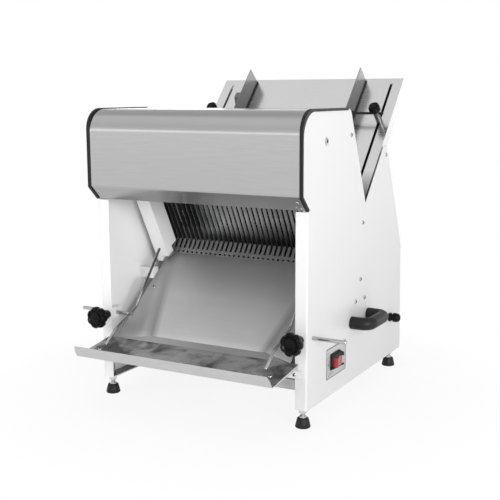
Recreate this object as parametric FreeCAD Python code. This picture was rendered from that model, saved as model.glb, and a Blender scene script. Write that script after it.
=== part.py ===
import FreeCAD, Part
import math
import os
from FreeCAD import Vector

# Bench bread slicer. Machine frame while modelling: X to the operator's right,
# Y backwards from the front face of the side panels, Z up from the bench.
# save() moves every piece so that the row's origin is the bottom centre of the
# whole object's box. All sizes are millimetres and degrees.

# ---- slicing -------------------------------------------------------------
SLICE = 12.0                 # slice thickness, blade to blade
SIDE_ROOM = 53.7             # least room from the outer blades to the panels' outer faces
BLADE_T = 0.7
BLADE_W = 12.0
BLADE_TILT = 28.4            # blades lean forward at the top
BLADE_Y, BLADE_Z = 212.0, 308.5   # where the front blades cross the bread path
STROKE = 18.0                # half the blade travel
FRAME_GAP = 1.0              # between the two blade frames
BAR_LIP = 6.0                # bar depth beyond its blades
BAR_H = 24.0
BLADE_SEAT = 10.0            # blade holder inside its bar
BAR_TOP_S = 233.0            # inner face of the upper bar, along the blades
BAR_LOW_S = -76.0            # inner face of the lower bar
STILE_W = 20.0
STILE_GAP = 3.0              # stile to the plane of the front flange's inner edge
END_GAP = 2.0                # blade end to the other frame's bar at full stroke
HOLDER_T, HOLDER_LAP = 2.0, 8.0   # flat end holders: thickness, and length beside the blade
HOLDER_GAP = 0.1             # holder to its blade and to the walls of its slit
BLADE_LOW_S = BAR_LOW_S + 2.0 * STROKE + END_GAP
BLADE_TOP_S = BAR_TOP_S - 2.0 * STROKE - END_GAP

# ---- side panels ---------------------------------------------------------
HALF_W = 239.8
SHEET = 2.0
BEND_R = 4.0
FLANGE_W = 24.8              # front flange
FLANGE_X = HALF_W - FLANGE_W
FLANGE_TOP = 417.8
PANEL_Z0 = 36.6
REAR_LOW_Y = 519.2
REAR_KNEE = (509.7, 286.6)
REAR_PEAK = (400.8, 533.0)
NOTCH = (285.5, 403.6)
HEAD_BACK_Y = 198.0
PEAK_R = 14.0
HEAD_R = 18.0
SIDE_FLANGE = 20.0           # rear flange width
CORNER_R = (10.0, 8.0, 1.5, 2.0)   # panel's rear foot, knee, notch and bevel corners
REAR_LINE_SHARE = 0.82       # how far the rear edge is flanged towards the peak
HOLE_OVER = 1.0              # cutters run this far past a sheet
STILE_X0 = FLANGE_X - STILE_GAP - STILE_W
BLADE_COUNT = 1 + int(2.0 * (HALF_W - SIDE_ROOM) / SLICE)   # 32 blades, 31 slices
BLADES_HALF = SLICE * (BLADE_COUNT - 1) / 2.0

# ---- hood ----------------------------------------------------------------
HOOD_T = 1.2
HOOD_FRONT_Y = -28.0
HOOD_BEVEL_Z = 448.0
HOOD_TAIL = (0.0, 420.5)
HOOD_TOP_Z = 603.6
HOOD_R = 45.0
HOOD_BACK_Y = 180.0
HOOD_HEM = 14.0
TRIM_IN, TRIM_OUT = 3.8, 3.2  # edge trim inside and outside the panel's outer face
TRIM_X0, TRIM_X1 = HALF_W - TRIM_IN, HALF_W + TRIM_OUT
HOOD_BEND_R, HOOD_BACK_R = 2.0, 1.5
TRIM_T = 2.0
TRIM_LIP = 3.2
FIT = 0.3                    # gap between pieces that only pass each other
SEAT = 0.2                   # gap where a bent sheet lies in another

# ---- infeed tray (its own axes: t up the slope, h off the sheet) ----------
TRAY_SLOPE = 47.8
TRAY_Y, TRAY_Z = 338.0, 461.5
TRAY_GAP = 3.9               # tray skirt to the panel, filled by the spacer rings
TRAY_HALF = HALF_W - SHEET - TRAY_GAP
TRAY_T0, TRAY_T1 = -160.0, 277.0
TRAY_SHEET = 1.5
TRAY_SKIRT = 25.0
TRAY_NOTCH_T = -124.0
TRAY_HEM = 8.0
CHANNEL_W, RAIL_W = 33.5, 25.0   # guide channels and rear rails, inwards from the flange edge
NECK_GAP = 3.0
TRAY_NECK_HALF = FLANGE_X - RAIL_W - NECK_GAP
SLOT_IN = 25.9
SLOT_X = TRAY_HALF - SLOT_IN
SLOT_W = 6.0
SLOT_T0, SLOT_T1 = -20.0, 262.0
TRAY_CORNER = 9.0

# ---- infeed guides ---------------------------------------------------------
GUIDE_IN = 65.0              # from the slot inwards to the guide
GUIDE_X = SLOT_X - GUIDE_IN
GUIDE_T0, GUIDE_T1 = -80.0, 269.0
GUIDE_H = 46.0
GUIDE_SHEET = 2.0
STRIP_H = 3.6
STRIP_HALF = 3.0
POST_T = 150.0
POST_R = 7.0
POST_H = 34.0
GUIDE_ROD_R = 3.0
GUIDE_ROD_H = 25.0
GUIDE_ROD_PAST = 16.0        # rod end beyond the post
GUIDE_ROD_OUT = SLOT_X + GUIDE_ROD_PAST
BOSS_LEN = 10.0
BOSS_R = 6.0
STUD_R = 2.7
STUD_LOW = -7.0              # lower end of the post's stud, under the tray
POST_WASHER_R, POST_WASHER_LOW = 7.5, -3.3
POST_NUT_R, POST_NUT_H, POST_NUT_LOW = 5.5, 3.5, -6.8
INFEED_LOBES = 5
INFEED_KNOB_R = 13.0
INFEED_KNOB_H = 15.0
GRIP_T = 187.0               # grip block on the left guide
GRIP_W, GRIP_RISE, GRIP_DEPTH, GRIP_LEAN = 28.0, 26.0, 15.0, 15.0
GRIP_TAB_LOW, GRIP_TAB_TOP = STRIP_H + 1.0, GUIDE_H / 2.0

# ---- discharge chute -------------------------------------------------------
CHUTE_T = 1.5
CHUTE_FOOT = (29.0, 132.0)
CHUTE_TOP = (196.0, 281.6)
COMB_MARGIN = 4.0            # comb beyond the outermost blade
COMB_HALF = BLADES_HALF + COMB_MARGIN
CHUTE_TOP_IN, CHUTE_FLARE = 6.0, 49.0
CHUTE_TOP_HALF = COMB_HALF - CHUTE_TOP_IN
CHUTE_FOOT_HALF = CHUTE_TOP_HALF - CHUTE_FLARE
WING_FOOT_IN, WING_TOP_IN = 10.0, 15.0
WING_FOOT = (FLANGE_X - WING_FOOT_IN, 0.2, 127.7)
WING_TOP = (FLANGE_X - WING_TOP_IN, 176.0, 260.0)
COMB_SLOT_Y = 197.0
COMB_END = (218.0, 311.4)
COMB_SLOT_W = 5.2
COMB_STRIP_Y, COMB_STRIP_T = (201.0, 205.0), 1.5   # stiffening strip under the fingers
CHEEK_Y = 211.0              # the side cheeks end here on the comb's edge
CHUTE_BLOCK_Y, CHUTE_BLOCK_D, CHUTE_BLOCK_H = 136.0, 20.0, 24.0

# ---- crumb ledge -----------------------------------------------------------
LEDGE_T = 1.5
LEDGE_IN = 18.8              # ledge's side to the panel's outer face
LEDGE_HALF = HALF_W - LEDGE_IN
LEDGE_FRONT = (-107.0, 113.0)
LEDGE_REAR = (-0.6, 128.0)
TONGUE_GAP = 17.0            # tongue between the flanges
LEDGE_INNER_HALF = FLANGE_X - TONGUE_GAP
LEDGE_INNER_Y = 27.5
LIP_TOP = (-121.0, 136.0)
LIP_T = 2.4
LEDGE_SKIRT = 10.0
LIP_TRIM, LIP_TRIM_SHARE = 4.0, 0.55   # lip corners: how much is cut, and from what height
HOLE_PITCH = 20.0
HOLE_R = 2.5
HOLE_MARGIN = 24.0           # plain border along the ledge's sides and front
HOLE_REAR = 12.0             # first row of holes from the rear edge
BRACKET_ROOM = 51.0          # plain corner over each bracket, from the ledge's side
BRACKET_ROWS = 2
BRACKET_IN, BRACKET_OUT, BRACKET_ARM_W = 61.8, 6.8, 24.0
BRACKET_Z0, BRACKET_Z1, BRACKET_T, BRACKET_REACH = 99.0, 115.0, 2.0, 52.0

# ---- outfeed wire guides ---------------------------------------------------
ROD_R = 4.0
ROD_Y, ROD_Z = 25.0, 175.0
ROD_PAST = 69.2              # rod end outside the panel
ROD_OUT = HALF_W + ROD_PAST
WIRE_R = 3.0
WIRE_IN = 35.0               # wire inwards from its clamp
WIRE_PATH = ((-88.0, -47.0), (-50.0, -19.0), (18.0, 9.0), (113.0, 124.0))
WIRE_BEND = 16.0
RUN = 0.05                   # radial clearance of a running fit
CLAMP_IN = 20.8
CLAMP_X0 = HALF_W - CLAMP_IN
WIRE_X = CLAMP_X0 - WIRE_IN
CLAMP_H = 23.0
CLAMP_Y1 = 42.0
KNOB_IN = 14.8
KNOB_X = HALF_W - KNOB_IN
KNOB_R = 23.0
KNOB_T = 16.0
KNOB_FACE_Y = -44.0
KNOB_BOSS_R = 10.0
KNOB_STUD_R = 4.0
LOBES = 7

# ---- control plate, gland, handles, feet ----------------------------------
PLATE_Y0, PLATE_Y1, PLATE_Z0, PLATE_Z1 = 89.0, 184.0, 73.5, 135.0
PLATE_T = 1.5
SWITCH_Y, SWITCH_Z = 128.5, 106.0
SWITCH_W, SWITCH_H, SWITCH_OUT = 42.0, 32.0, 14.0
SWITCH_WALL = 3.0
SWITCH_NECK = 26.0           # switch body behind the panel
SWITCH_SEAT, SWITCH_RIM = 2.0, 1.0   # inner ledge of the guard: depth and width
WELL_WALL = 1.5
ROCKER_R = 16.0
ROCKER_SIDE_GAP = 2.0
ROCKER_CREST_IN, ROCKER_VALLEY = 1.0, 3.0
ROCKER_AXIS_OUT = 8.0
ROCKER_GAP = 0.4
ROCKER_TILT = 8.0
GLAND_Y, GLAND_Z = 443.0, 126.0
GLAND_R = 10.5
GLAND_OUT = 25.5
CORD_BORE_R = 4.0
HANDLE_Y0, HANDLE_Y1, HANDLE_Z = 215.5, 306.5, 163.0
HANDLE_R = 13.2
HANDLE_REACH = 52.5
HANDLE_BEND = 17.0
HANDLE_BORE, HANDLE_BOLT = 16.0, 14.0   # bore depth and bolt length outside the panel
HANDLE_HEAD_R, HANDLE_HEAD_T = 7.0, 5.0
FOOT_IN = 13.8
FOOT_X, FOOT_Y0, FOOT_Y1 = HALF_W - FOOT_IN, 13.0, 480.6
FOOT_R, FOOT_TOP_R, FOOT_H = 15.0, 11.0, 20.0
FOOT_RIM_H, FOOT_RIM_IN = 2.0, 0.8
STEM_R, STEM_UP = 5.0, 26.0   # stem's end above the panel's bottom flange
COLLAR_R, COLLAR_H = 7.5, 3.0
STEM_GAP = 1.5                # clearance of a plate round a foot's stem
NUT_R, NUT_H = 8.5, 8.0

# ---- drive -----------------------------------------------------------------
SHAFT_S = -232.0
SHAFT_R = 10.0
SHAFT_PAST = 2.0             # shaft end beyond its bearing
THROW = STROKE
SHEAVE_R = 31.0
STRAP_WALL = 8.0
ROD_T = 10.0
PIN_S = -154.0
PIN_R = 6.0
EYE_R = 12.0
SHANK_HALF, SHANK_SINK = 8.0, 4.0
LUG_T = 8.0
LUG_GAP = 0.5
BEARING_IN, BEARING_W, BEARING_R = 58.8, 24.0, 28.0
BEARING_X0 = HALF_W - BEARING_IN
BEARING_DROP, BEARING_FOOT_HALF, BEARING_FOOT_T = 33.0, 48.0, 12.0
BEARING_WEB_HALF, BEARING_WEB_IN = 22.0, 4.0
RISER_HALF, RISER_T, RISER_OVER = 54.0, 3.0, 2.0
SHAFT_HALF = BEARING_X0 + BEARING_W + SHAFT_PAST
ROD_A_IN, ROD_STEP = 21.0, 30.0
ROD_A_X = BEARING_X0 - ROD_A_IN
ROD_B_X = ROD_A_X - ROD_STEP
SHEAVE_OVER = 0.5            # sheave wider than its rod, each side
PULLEY_X = 42.0
PULLEY_R, MOTOR_PULLEY_R = 62.0, 26.0
PULLEY_W = 22.0
PULLEY_WINDOWS, WINDOW_SHARE = 5, 0.3
GROOVE_UNDER, GROOVE_LOW, GROOVE_TOP = 1.0, 0.6, 2.2   # groove's room under and beside the belt
BELT_W, BELT_H, BELT_SINK = 9.0, 6.0, 7.5
MOTOR_Y, MOTOR_Z = 447.0, 112.0
MOTOR_R = 54.0
MOTOR_X0, MOTOR_X1 = -150.0, 12.0
MOTOR_SHAFT_R = 7.0
MOTOR_SHAFT_IN, MOTOR_SHAFT_PAST, MOTOR_SHAFT_END = 38.0, 4.0, 2.0
MOTOR_NOSE_R, MOTOR_NOSE = 22.0, 8.0
MOTOR_FOOT_IN, MOTOR_FOOT_HALF, MOTOR_FOOT_T = 35.0, 50.0, 10.0
MOTOR_WEB_IN, MOTOR_WEB_HALF = 45.0, 36.0
TERMINAL_X0, TERMINAL_X1, TERMINAL_HALF = 40.0, 110.0, 28.0
TERMINAL_LOW, TERMINAL_OVER = 30.0, 26.0
FAN_COVER, FAN_COVER_OVER = 30.0, 1.5
BASE_Y0, BASE_Z = 100.0, 38.9
BASE_T = 2.0
BASE_BACK_GAP, BASE_FRONT_H = 8.0, 22.0
BASE_ARM_Y0 = 4.0            # front end of the arms that lie on the bottom flanges
COVER_T = 1.5
VENTS, VENT_PITCH, VENT_Z0 = 6, 14.0, 90.0
VENT_HALF, VENT_H = 70.0, 5.0
COVER_REACH = 30.0           # cutters reach this far in from the rear edge

# ---- screws seen on each panel (y, z, head radius) --------------------------
TRAY_SCREWS = ((271.0, 366.0), (401.0, 500.0))
GUIDE_SCREW = (81.0, 544.0)
RAIL_SCREWS = ((263.0, 247.0), (287.0, 203.0), (238.0, 203.0))
TIE = (202.0, 551.0)
SCREW_R = 3.0
HEAD_R_SMALL = 5.5
HEAD_R_BIG = 9.0
HEAD_T = 1.6
TIE_R, TIE_TAP = 7.0, 14.0
SPACER_R = 7.0
TRAY_SHANK_IN, RAIL_SHANK_IN, GUIDE_SHANK_IN = 8.0, 12.0, 14.0
TIE_SHANK_IN = 12.0
HEAD_FLAT = 0.7              # flat top of a head, as a share of its radius
PANEL_HOLE = 3.0             # cutters start this far inside the panel's outer face

# ---- channels, rails and pads (blade axes: n across, s along) ----------------
TUBE_WALL = 2.5
CHANNEL_N = (-53.0, -31.0, -10.0)   # front face, shared wall and rear face of the two tubes
CHANNEL_S = (5.0, 272.0)
TOE_HEEL_S, TOE_STEP_S, TOE_S = -8.0, -12.0, -24.0   # lower end of the front tube
TOE_STEP_IN, TOE_IN = 16.0, 13.0
UPPER_BLOCK_N, UPPER_BLOCK_S = (-48.0, 8.0), (261.0, 277.0)
STRAP_N, STRAP_S = (-22.0, -12.0), (12.0, 22.0)
RAIL_GAP, RAIL_DEPTH = 3.0, 18.0
RAIL_S = (-128.0, 262.0)
RAIL_FOOT_N0, RAIL_FOOT_S, RAIL_FOOT_T = -40.0, (-141.0, -64.0), 6.0
PAD_IN, PAD_W, PAD_LEN = 21.0, 16.0, 50.0
PAD_S = (24.0, 200.0)

COS_B, SIN_B = math.cos(math.radians(BLADE_TILT)), math.sin(math.radians(BLADE_TILT))
COS_T, SIN_T = math.cos(math.radians(TRAY_SLOPE)), math.sin(math.radians(TRAY_SLOPE))
TRAY_BACK_Y = TRAY_Y + (TRAY_T1 - TRAY_CORNER) * COS_T + TRAY_SKIRT * SIN_T
ORIGIN_Y = (LIP_TOP[0] + TRAY_BACK_Y) / 2.0

FRONT_N = (-BAR_LIP, BLADE_W)                       # front frame, across the blades
REAR_N = (BLADE_W + FRAME_GAP, 2 * BLADE_W + FRAME_GAP + BAR_LIP)
MID_N = (FRONT_N[0] + REAR_N[1]) / 2.0
FRONT_SEAT_N = (0.0, BLADE_W)                       # where the blade holders sit
REAR_SEAT_N = (REAR_N[0], REAR_N[0] + BLADE_W)
FRONT_PIN_N = (FRONT_N[0] + FRONT_N[1]) / 2.0
REAR_PIN_N = (REAR_N[0] + REAR_N[1]) / 2.0


# ---- helpers ---------------------------------------------------------------
def box(x0, x1, y0, y1, z0, z1):
    return Part.makeBox(x1 - x0, y1 - y0, z1 - z0, Vector(x0, y0, z0))


def rod_x(x0, x1, y, z, r):
    return Part.makeCylinder(r, x1 - x0, Vector(x0, y, z), Vector(1, 0, 0))


def rod_y(y0, y1, x, z, r):
    return Part.makeCylinder(r, y1 - y0, Vector(x, y0, z), Vector(0, 1, 0))


def rod_z(z0, z1, x, y, r):
    return Part.makeCylinder(r, z1 - z0, Vector(x, y, z0), Vector(0, 0, 1))


def fuse(shapes):
    whole = shapes[0]
    for piece in shapes[1:]:
        whole = whole.fuse(piece)
    return whole.removeSplitter()


def cut(shape, tools):
    for tool in tools:
        shape = shape.cut(tool)
    return shape


def mirror(shape):
    return shape.mirror(Vector(0, 0, 0), Vector(1, 0, 0))


def both(shape):
    return Part.makeCompound([shape, mirror(shape)])


def round_corner(before, corner, after, radius):
    """Tangent points and middle of the arc that rounds one corner of a path."""
    a = (before - corner).normalize()
    b = (after - corner).normalize()
    half = a.getAngle(b) / 2.0
    reach = radius / math.tan(half)
    middle = (a + b).normalize() * (radius / math.sin(half) - radius)
    return corner + a * reach, corner + middle, corner + b * reach


def path_edges(points, radii, closed):
    """Straight runs joined by tangent arcs."""
    edges = []
    count = len(points)
    start = None
    first = None
    for i in range(count):
        is_end = not closed and i in (0, count - 1)
        if radii[i] > 0 and not is_end:
            p, mid, q = round_corner(points[i - 1], points[i], points[(i + 1) % count], radii[i])
        else:
            p = mid = q = points[i]
        if start is not None and (p - start).Length > 1e-6:
            edges.append(Part.LineSegment(start, p).toShape())
        if first is None:
            first = p
        if radii[i] > 0 and not is_end:
            edges.append(Part.Arc(p, mid, q).toShape())
        start = q
    if closed and (first - start).Length > 1e-6:
        edges.append(Part.LineSegment(start, first).toShape())
    return edges


def plate_x(points, x0, x1, radii=None):
    """A (y, z) outline with rounded corners, extruded along X."""
    vectors = [Vector(x0, y, z) for y, z in points]
    edges = path_edges(vectors, radii or [0.0] * len(points), True)
    face = Part.Face(Part.Wire(edges))
    return face.extrude(Vector(x1 - x0, 0, 0))


def offset_line(points, distance):
    """The open (y, z) line moved sideways, to its left for a positive distance."""
    moved = []
    for i, (y, z) in enumerate(points):
        normals = []
        for j in (i - 1, i):
            if 0 <= j < len(points) - 1:
                dy = points[j + 1][0] - points[j][0]
                dz = points[j + 1][1] - points[j][1]
                length = math.hypot(dy, dz)
                normals.append((-dz / length, dy / length))
        ny = sum(n[0] for n in normals) / len(normals)
        nz = sum(n[1] for n in normals) / len(normals)
        scale = distance / (ny * ny + nz * nz)
        moved.append((y + ny * scale, z + nz * scale))
    return moved


def bent_sheet(points, thickness, x0, x1, radii=None):
    """A sheet bent along an open (y, z) line; the line is its right-hand face."""
    radii = radii or [0.0] * len(points)
    other = offset_line(points, thickness)
    inner = [max(r - thickness, 0.0) if r > 0 else 0.0 for r in radii]
    return plate_x(list(points) + other[::-1], x0, x1, list(radii) + inner[::-1])


def facet(corners, drop):
    """A flat polygon of a folded sheet, thickened straight down."""
    points = [Vector(*c) for c in corners]
    face = Part.Face(Part.makePolygon(points + [points[0]]))
    return face.extrude(Vector(0, 0, -drop))


def pipe(points, radius, bend):
    radii = [bend] * len(points)
    spine = Part.Wire(path_edges(points, radii, False))
    direction = points[1] - points[0]
    ring = Part.Wire(Part.makeCircle(radius, points[0], direction))
    return spine.makePipeShell([ring], True, False)


def in_blade(shape):
    """From the blade axes (x, across n, along s) to the machine frame."""
    shape.rotate(Vector(0, 0, 0), Vector(1, 0, 0), BLADE_TILT)
    shape.translate(Vector(0, BLADE_Y, BLADE_Z))
    return shape


def in_tray(shape):
    """From the tray axes (x, t up the slope, h off the sheet) to the machine frame."""
    shape.rotate(Vector(0, 0, 0), Vector(1, 0, 0), TRAY_SLOPE)
    shape.translate(Vector(0, TRAY_Y, TRAY_Z))
    return shape


def blade_yz(n, s):
    return BLADE_Y + n * COS_B - s * SIN_B, BLADE_Z + n * SIN_B + s * COS_B


SHAFT_Y, SHAFT_Z = blade_yz(MID_N, SHAFT_S)


def star_knob(radius, thickness, lobes):
    """Lobed head on the Z axis, its back face at z = 0, with a shallow cap recess."""
    head = Part.makeCylinder(radius * 0.9, thickness)
    for i in range(lobes):
        angle = 2 * math.pi * i / lobes
        centre = Vector(radius * 0.72 * math.cos(angle), radius * 0.72 * math.sin(angle), 0)
        head = head.fuse(Part.makeCylinder(radius * 0.28, thickness, centre))
    head = head.removeSplitter()
    recess = Part.makeCylinder(radius * 0.6, thickness * 0.15, Vector(0, 0, thickness * 0.85))
    cap = Part.makeCylinder(radius * 0.5, thickness * 0.1, Vector(0, 0, thickness * 0.85))
    return head.cut(recess).fuse(cap).removeSplitter()


def screw_x(y, z, head_r, inner_x, head_x=HALF_W):
    """A screw through the right panel: low domed head outside, shank inwards."""
    head = Part.makeCone(head_r, head_r * HEAD_FLAT, HEAD_T, Vector(head_x, y, z), Vector(1, 0, 0))
    return head.fuse(rod_x(inner_x, head_x, y, z, SCREW_R)).removeSplitter()


def hex_nut(radius, height, x, y, z, bore):
    corners = [Vector(x + radius * math.cos(math.radians(60 * i)),
                      y + radius * math.sin(math.radians(60 * i)), z) for i in range(6)]
    prism = Part.Face(Part.makePolygon(corners + [corners[0]])).extrude(Vector(0, 0, height))
    return prism.cut(rod_z(z - 1, z + height + 1, x, y, bore))


# ---- outlines shared by panel, hood and trim --------------------------------
def hood_line():
    """Outer face of the hood from its tail under the bevel to its back edge."""
    return [HOOD_TAIL, (HOOD_FRONT_Y, HOOD_BEVEL_Z), (HOOD_FRONT_Y, HOOD_TOP_Z),
            (HOOD_BACK_Y, HOOD_TOP_Z)]


def panel_outline():
    top = HOOD_TOP_Z - SEAT
    front = HOOD_FRONT_Y + SEAT
    return [(BEND_R, PANEL_Z0), (REAR_LOW_Y, PANEL_Z0), REAR_KNEE, REAR_PEAK, NOTCH,
            (HEAD_BACK_Y, top), (front, top), (front, HOOD_BEVEL_Z),
            (BEND_R, HOOD_TAIL[1])]


def rear_line():
    """Rear edge of the panels, from the bottom up to below the peak."""
    dy, dz = REAR_PEAK[0] - REAR_KNEE[0], REAR_PEAK[1] - REAR_KNEE[1]
    return [(REAR_LOW_Y, PANEL_Z0), REAR_KNEE,
            (REAR_KNEE[0] + REAR_LINE_SHARE * dy, REAR_KNEE[1] + REAR_LINE_SHARE * dz)]


# ---- body shell --------------------------------------------------------------
def side_panel():
    foot_r, knee_r, notch_r, bevel_r = CORNER_R
    skin = plate_x(panel_outline(), HALF_W - SHEET, HALF_W,
                   [0, foot_r, knee_r, PEAK_R, notch_r, HEAD_R, HOOD_R - SEAT, bevel_r, 0])
    bend = [Vector(FLANGE_X, 0, PANEL_Z0), Vector(HALF_W, 0, PANEL_Z0),
            Vector(HALF_W, BEND_R, PANEL_Z0), Vector(HALF_W - SHEET, BEND_R, PANEL_Z0),
            Vector(HALF_W - SHEET, SHEET, PANEL_Z0), Vector(FLANGE_X, SHEET, PANEL_Z0)]
    edges = path_edges(bend, [0, BEND_R - 0.01, 0, 0, BEND_R - SHEET - 0.01, 0], True)
    flange = Part.Face(Part.Wire(edges)).extrude(Vector(0, 0, FLANGE_TOP - PANEL_Z0))
    low = box(FLANGE_X, HALF_W - SHEET, SHEET, REAR_LOW_Y - SHEET, PANEL_Z0, PANEL_Z0 + SHEET)
    rear = bent_sheet(rear_line(), SHEET, HALF_W - SHEET - SIDE_FLANGE, HALF_W - SHEET)
    panel = fuse([skin, flange, low, rear])
    holes = [rod_y(-HOLE_OVER, SHEET + HOLE_OVER, KNOB_X, ROD_Z, KNOB_STUD_R + RUN)]
    holes.append(rod_x(HALF_W - PANEL_HOLE, HALF_W + HOLE_OVER, ROD_Y, ROD_Z, ROD_R + RUN))
    for y, z in TRAY_SCREWS + RAIL_SCREWS + (GUIDE_SCREW, TIE):
        holes.append(rod_x(HALF_W - PANEL_HOLE, HALF_W + HOLE_OVER, y, z, SCREW_R))
    for y in (HANDLE_Y0, HANDLE_Y1):
        holes.append(rod_x(HALF_W - PANEL_HOLE, HALF_W + HOLE_OVER, y, HANDLE_Z, KNOB_STUD_R))
    for y in (FOOT_Y0, FOOT_Y1):
        holes.append(rod_z(PANEL_Z0 - HOLE_OVER, PANEL_Z0 + SHEET + HOLE_OVER, FOOT_X, y,
                           STEM_R + RUN))
    return cut(panel, holes)


def right_panel():
    gland = rod_x(HALF_W - PANEL_HOLE, HALF_W + HOLE_OVER, GLAND_Y, GLAND_Z, GLAND_R * 0.7)
    window = box(HALF_W - PANEL_HOLE, HALF_W + HOLE_OVER, SWITCH_Y - SWITCH_W / 2 + SWITCH_WALL,
                 SWITCH_Y + SWITCH_W / 2 - SWITCH_WALL, SWITCH_Z - SWITCH_H / 2 + SWITCH_WALL,
                 SWITCH_Z + SWITCH_H / 2 - SWITCH_WALL)
    return cut(side_panel(), [gland, window])


def hood_cover():
    hem = (HOOD_BACK_Y, HOOD_TOP_Z - HOOD_HEM)
    half = HALF_W - SHEET - FIT
    line = hood_line() + [hem]
    return bent_sheet(line, -HOOD_T, -half, half, [0, HOOD_BEND_R, HOOD_R, HOOD_BACK_R, 0])


def hood_trim():
    line = hood_line()
    radii = [0, HOOD_BEND_R, HOOD_R, 0]
    cap = bent_sheet(line, TRIM_T, TRIM_X0, TRIM_X1, radii)
    lip = bent_sheet(line, -TRIM_LIP, HALF_W + SEAT, TRIM_X1, radii)
    return cap.fuse(lip).removeSplitter()


def base_plate():
    half = HALF_W - SHEET - FIT
    deck = box(-half, half, BASE_Y0, REAR_LOW_Y - BASE_BACK_GAP, BASE_Z, BASE_Z + BASE_T)
    front = box(-half, half, BASE_Y0, BASE_Y0 + BASE_T, BASE_Z, BASE_Z + BASE_FRONT_H)
    riser = bearing_riser()
    arm = box(FLANGE_X, half, BASE_ARM_Y0, BASE_Y0, BASE_Z, BASE_Z + BASE_T)
    stems = [rod_z(BASE_Z - HOLE_OVER, BASE_Z + BASE_T + HOLE_OVER, side * FOOT_X, y,
                   STEM_R + STEM_GAP)
             for side in (-1, 1) for y in (FOOT_Y0, FOOT_Y1)]
    return cut(fuse([deck, front, riser, mirror(riser), arm, mirror(arm)]), stems)


def rear_cover():
    half = HALF_W - SHEET - FIT
    line = offset_line(rear_line(), SHEET + FIT)
    line[0] = (line[0][0], BASE_Z + BASE_T + FIT)
    cover = bent_sheet(line, COVER_T, -half, half)
    slots = []
    for i in range(VENTS):
        z = VENT_Z0 + i * VENT_PITCH
        slots.append(box(-VENT_HALF, VENT_HALF, REAR_LOW_Y - COVER_REACH, REAR_LOW_Y + COVER_REACH,
                         z, z + VENT_H))
    return cut(cover, slots)


def tie_bar():
    reach = HALF_W - SHEET
    bar = rod_x(-reach, reach, TIE[0], TIE[1], TIE_R)
    tap = rod_x(reach - TIE_TAP, reach + HOLE_OVER, TIE[0], TIE[1], SCREW_R)
    return cut(bar, [tap, mirror(tap)])


def panel_screws():
    screws = [screw_x(y, z, HEAD_R_SMALL, TRAY_HALF - TRAY_SHANK_IN) for y, z in TRAY_SCREWS]
    screws += [screw_x(y, z, HEAD_R_SMALL, HALF_W - RAIL_SHANK_IN) for y, z in RAIL_SCREWS]
    screws.append(screw_x(TIE[0], TIE[1], HEAD_R_SMALL, HALF_W - SHEET - TIE_SHANK_IN))
    screws.append(screw_x(GUIDE_SCREW[0], GUIDE_SCREW[1], HEAD_R_BIG, HALF_W - GUIDE_SHANK_IN))
    return Part.makeCompound(screws + [mirror(s) for s in screws])


# ---- infeed tray and its guides -----------------------------------------------
def infeed_tray():
    deck = box(-TRAY_HALF, TRAY_HALF, TRAY_NOTCH_T, TRAY_T1, -TRAY_SHEET, 0)
    neck = box(-TRAY_NECK_HALF, TRAY_NECK_HALF, TRAY_T0, TRAY_NOTCH_T, -TRAY_SHEET, 0)
    nose = box(-TRAY_NECK_HALF, TRAY_NECK_HALF, TRAY_T0, TRAY_T0 + TRAY_SHEET,
               -TRAY_HEM, 0)
    skirt = box(TRAY_HALF - TRAY_SHEET, TRAY_HALF, TRAY_NOTCH_T, TRAY_T1, -TRAY_SKIRT, 0)
    hem = box(-TRAY_HALF, TRAY_HALF, TRAY_T1 - TRAY_SHEET, TRAY_T1, -TRAY_HEM, 0)
    tray = fuse([deck, neck, nose, skirt, mirror(skirt), hem])
    cuts = []
    for side in (-1, 1):
        x = side * SLOT_X
        cuts.append(box(x - SLOT_W / 2, x + SLOT_W / 2, SLOT_T0, SLOT_T1,
                        -TRAY_SHEET - HOLE_OVER, HOLE_OVER))
        reach = 2 * TRAY_SHEET
        x0 = side * TRAY_HALF - reach
        corner = [Vector(x0, TRAY_T1 + 1, -TRAY_SKIRT - 1),
                  Vector(x0, TRAY_T1 - TRAY_CORNER, -TRAY_SKIRT - 1),
                  Vector(x0, TRAY_T1 + 1, -TRAY_SKIRT + TRAY_CORNER)]
        wedge = Part.Face(Part.makePolygon(corner + [corner[0]])).extrude(Vector(2 * reach, 0, 0))
        cuts.append(wedge)
    tray = in_tray(cut(tray, cuts))
    holes = [rod_x(TRAY_HALF - 2 * TRAY_SHEET, TRAY_HALF + HOLE_OVER, y, z, SCREW_R)
             for y, z in TRAY_SCREWS]
    holes += [mirror(h) for h in holes]
    return cut(tray, holes)


def infeed_post():
    """Slotted clamp post: collar over the slot, stud through it, washer and nut below."""
    collar = rod_z(FIT, POST_H, SLOT_X, POST_T, POST_R)
    stud = rod_z(STUD_LOW, FIT, SLOT_X, POST_T, STUD_R)
    washer = rod_z(POST_WASHER_LOW, -TRAY_SHEET - FIT, SLOT_X, POST_T, POST_WASHER_R)
    nut = hex_nut(POST_NUT_R, POST_NUT_H, SLOT_X, POST_T, POST_NUT_LOW, STUD_R)
    post = fuse([collar, stud, washer, nut])
    bore = rod_x(SLOT_X - 2 * POST_R, SLOT_X + 2 * POST_R, POST_T, GUIDE_ROD_H, GUIDE_ROD_R + RUN)
    thread = rod_z(GUIDE_ROD_H, POST_H + HOLE_OVER, SLOT_X, POST_T, STUD_R + RUN)
    return in_tray(cut(post, [bore, thread]))


def infeed_knob():
    head = star_knob(INFEED_KNOB_R, INFEED_KNOB_H, INFEED_LOBES)
    head.translate(Vector(SLOT_X, POST_T, POST_H + FIT))
    stud = rod_z(GUIDE_ROD_H + GUIDE_ROD_R + FIT, POST_H + FIT, SLOT_X, POST_T, STUD_R)
    return in_tray(head.fuse(stud).removeSplitter())


def infeed_guide():
    half = GUIDE_SHEET / 2
    return in_tray(box(GUIDE_X - half, GUIDE_X + half, GUIDE_T0, GUIDE_T1, STRIP_H, GUIDE_H))


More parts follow.
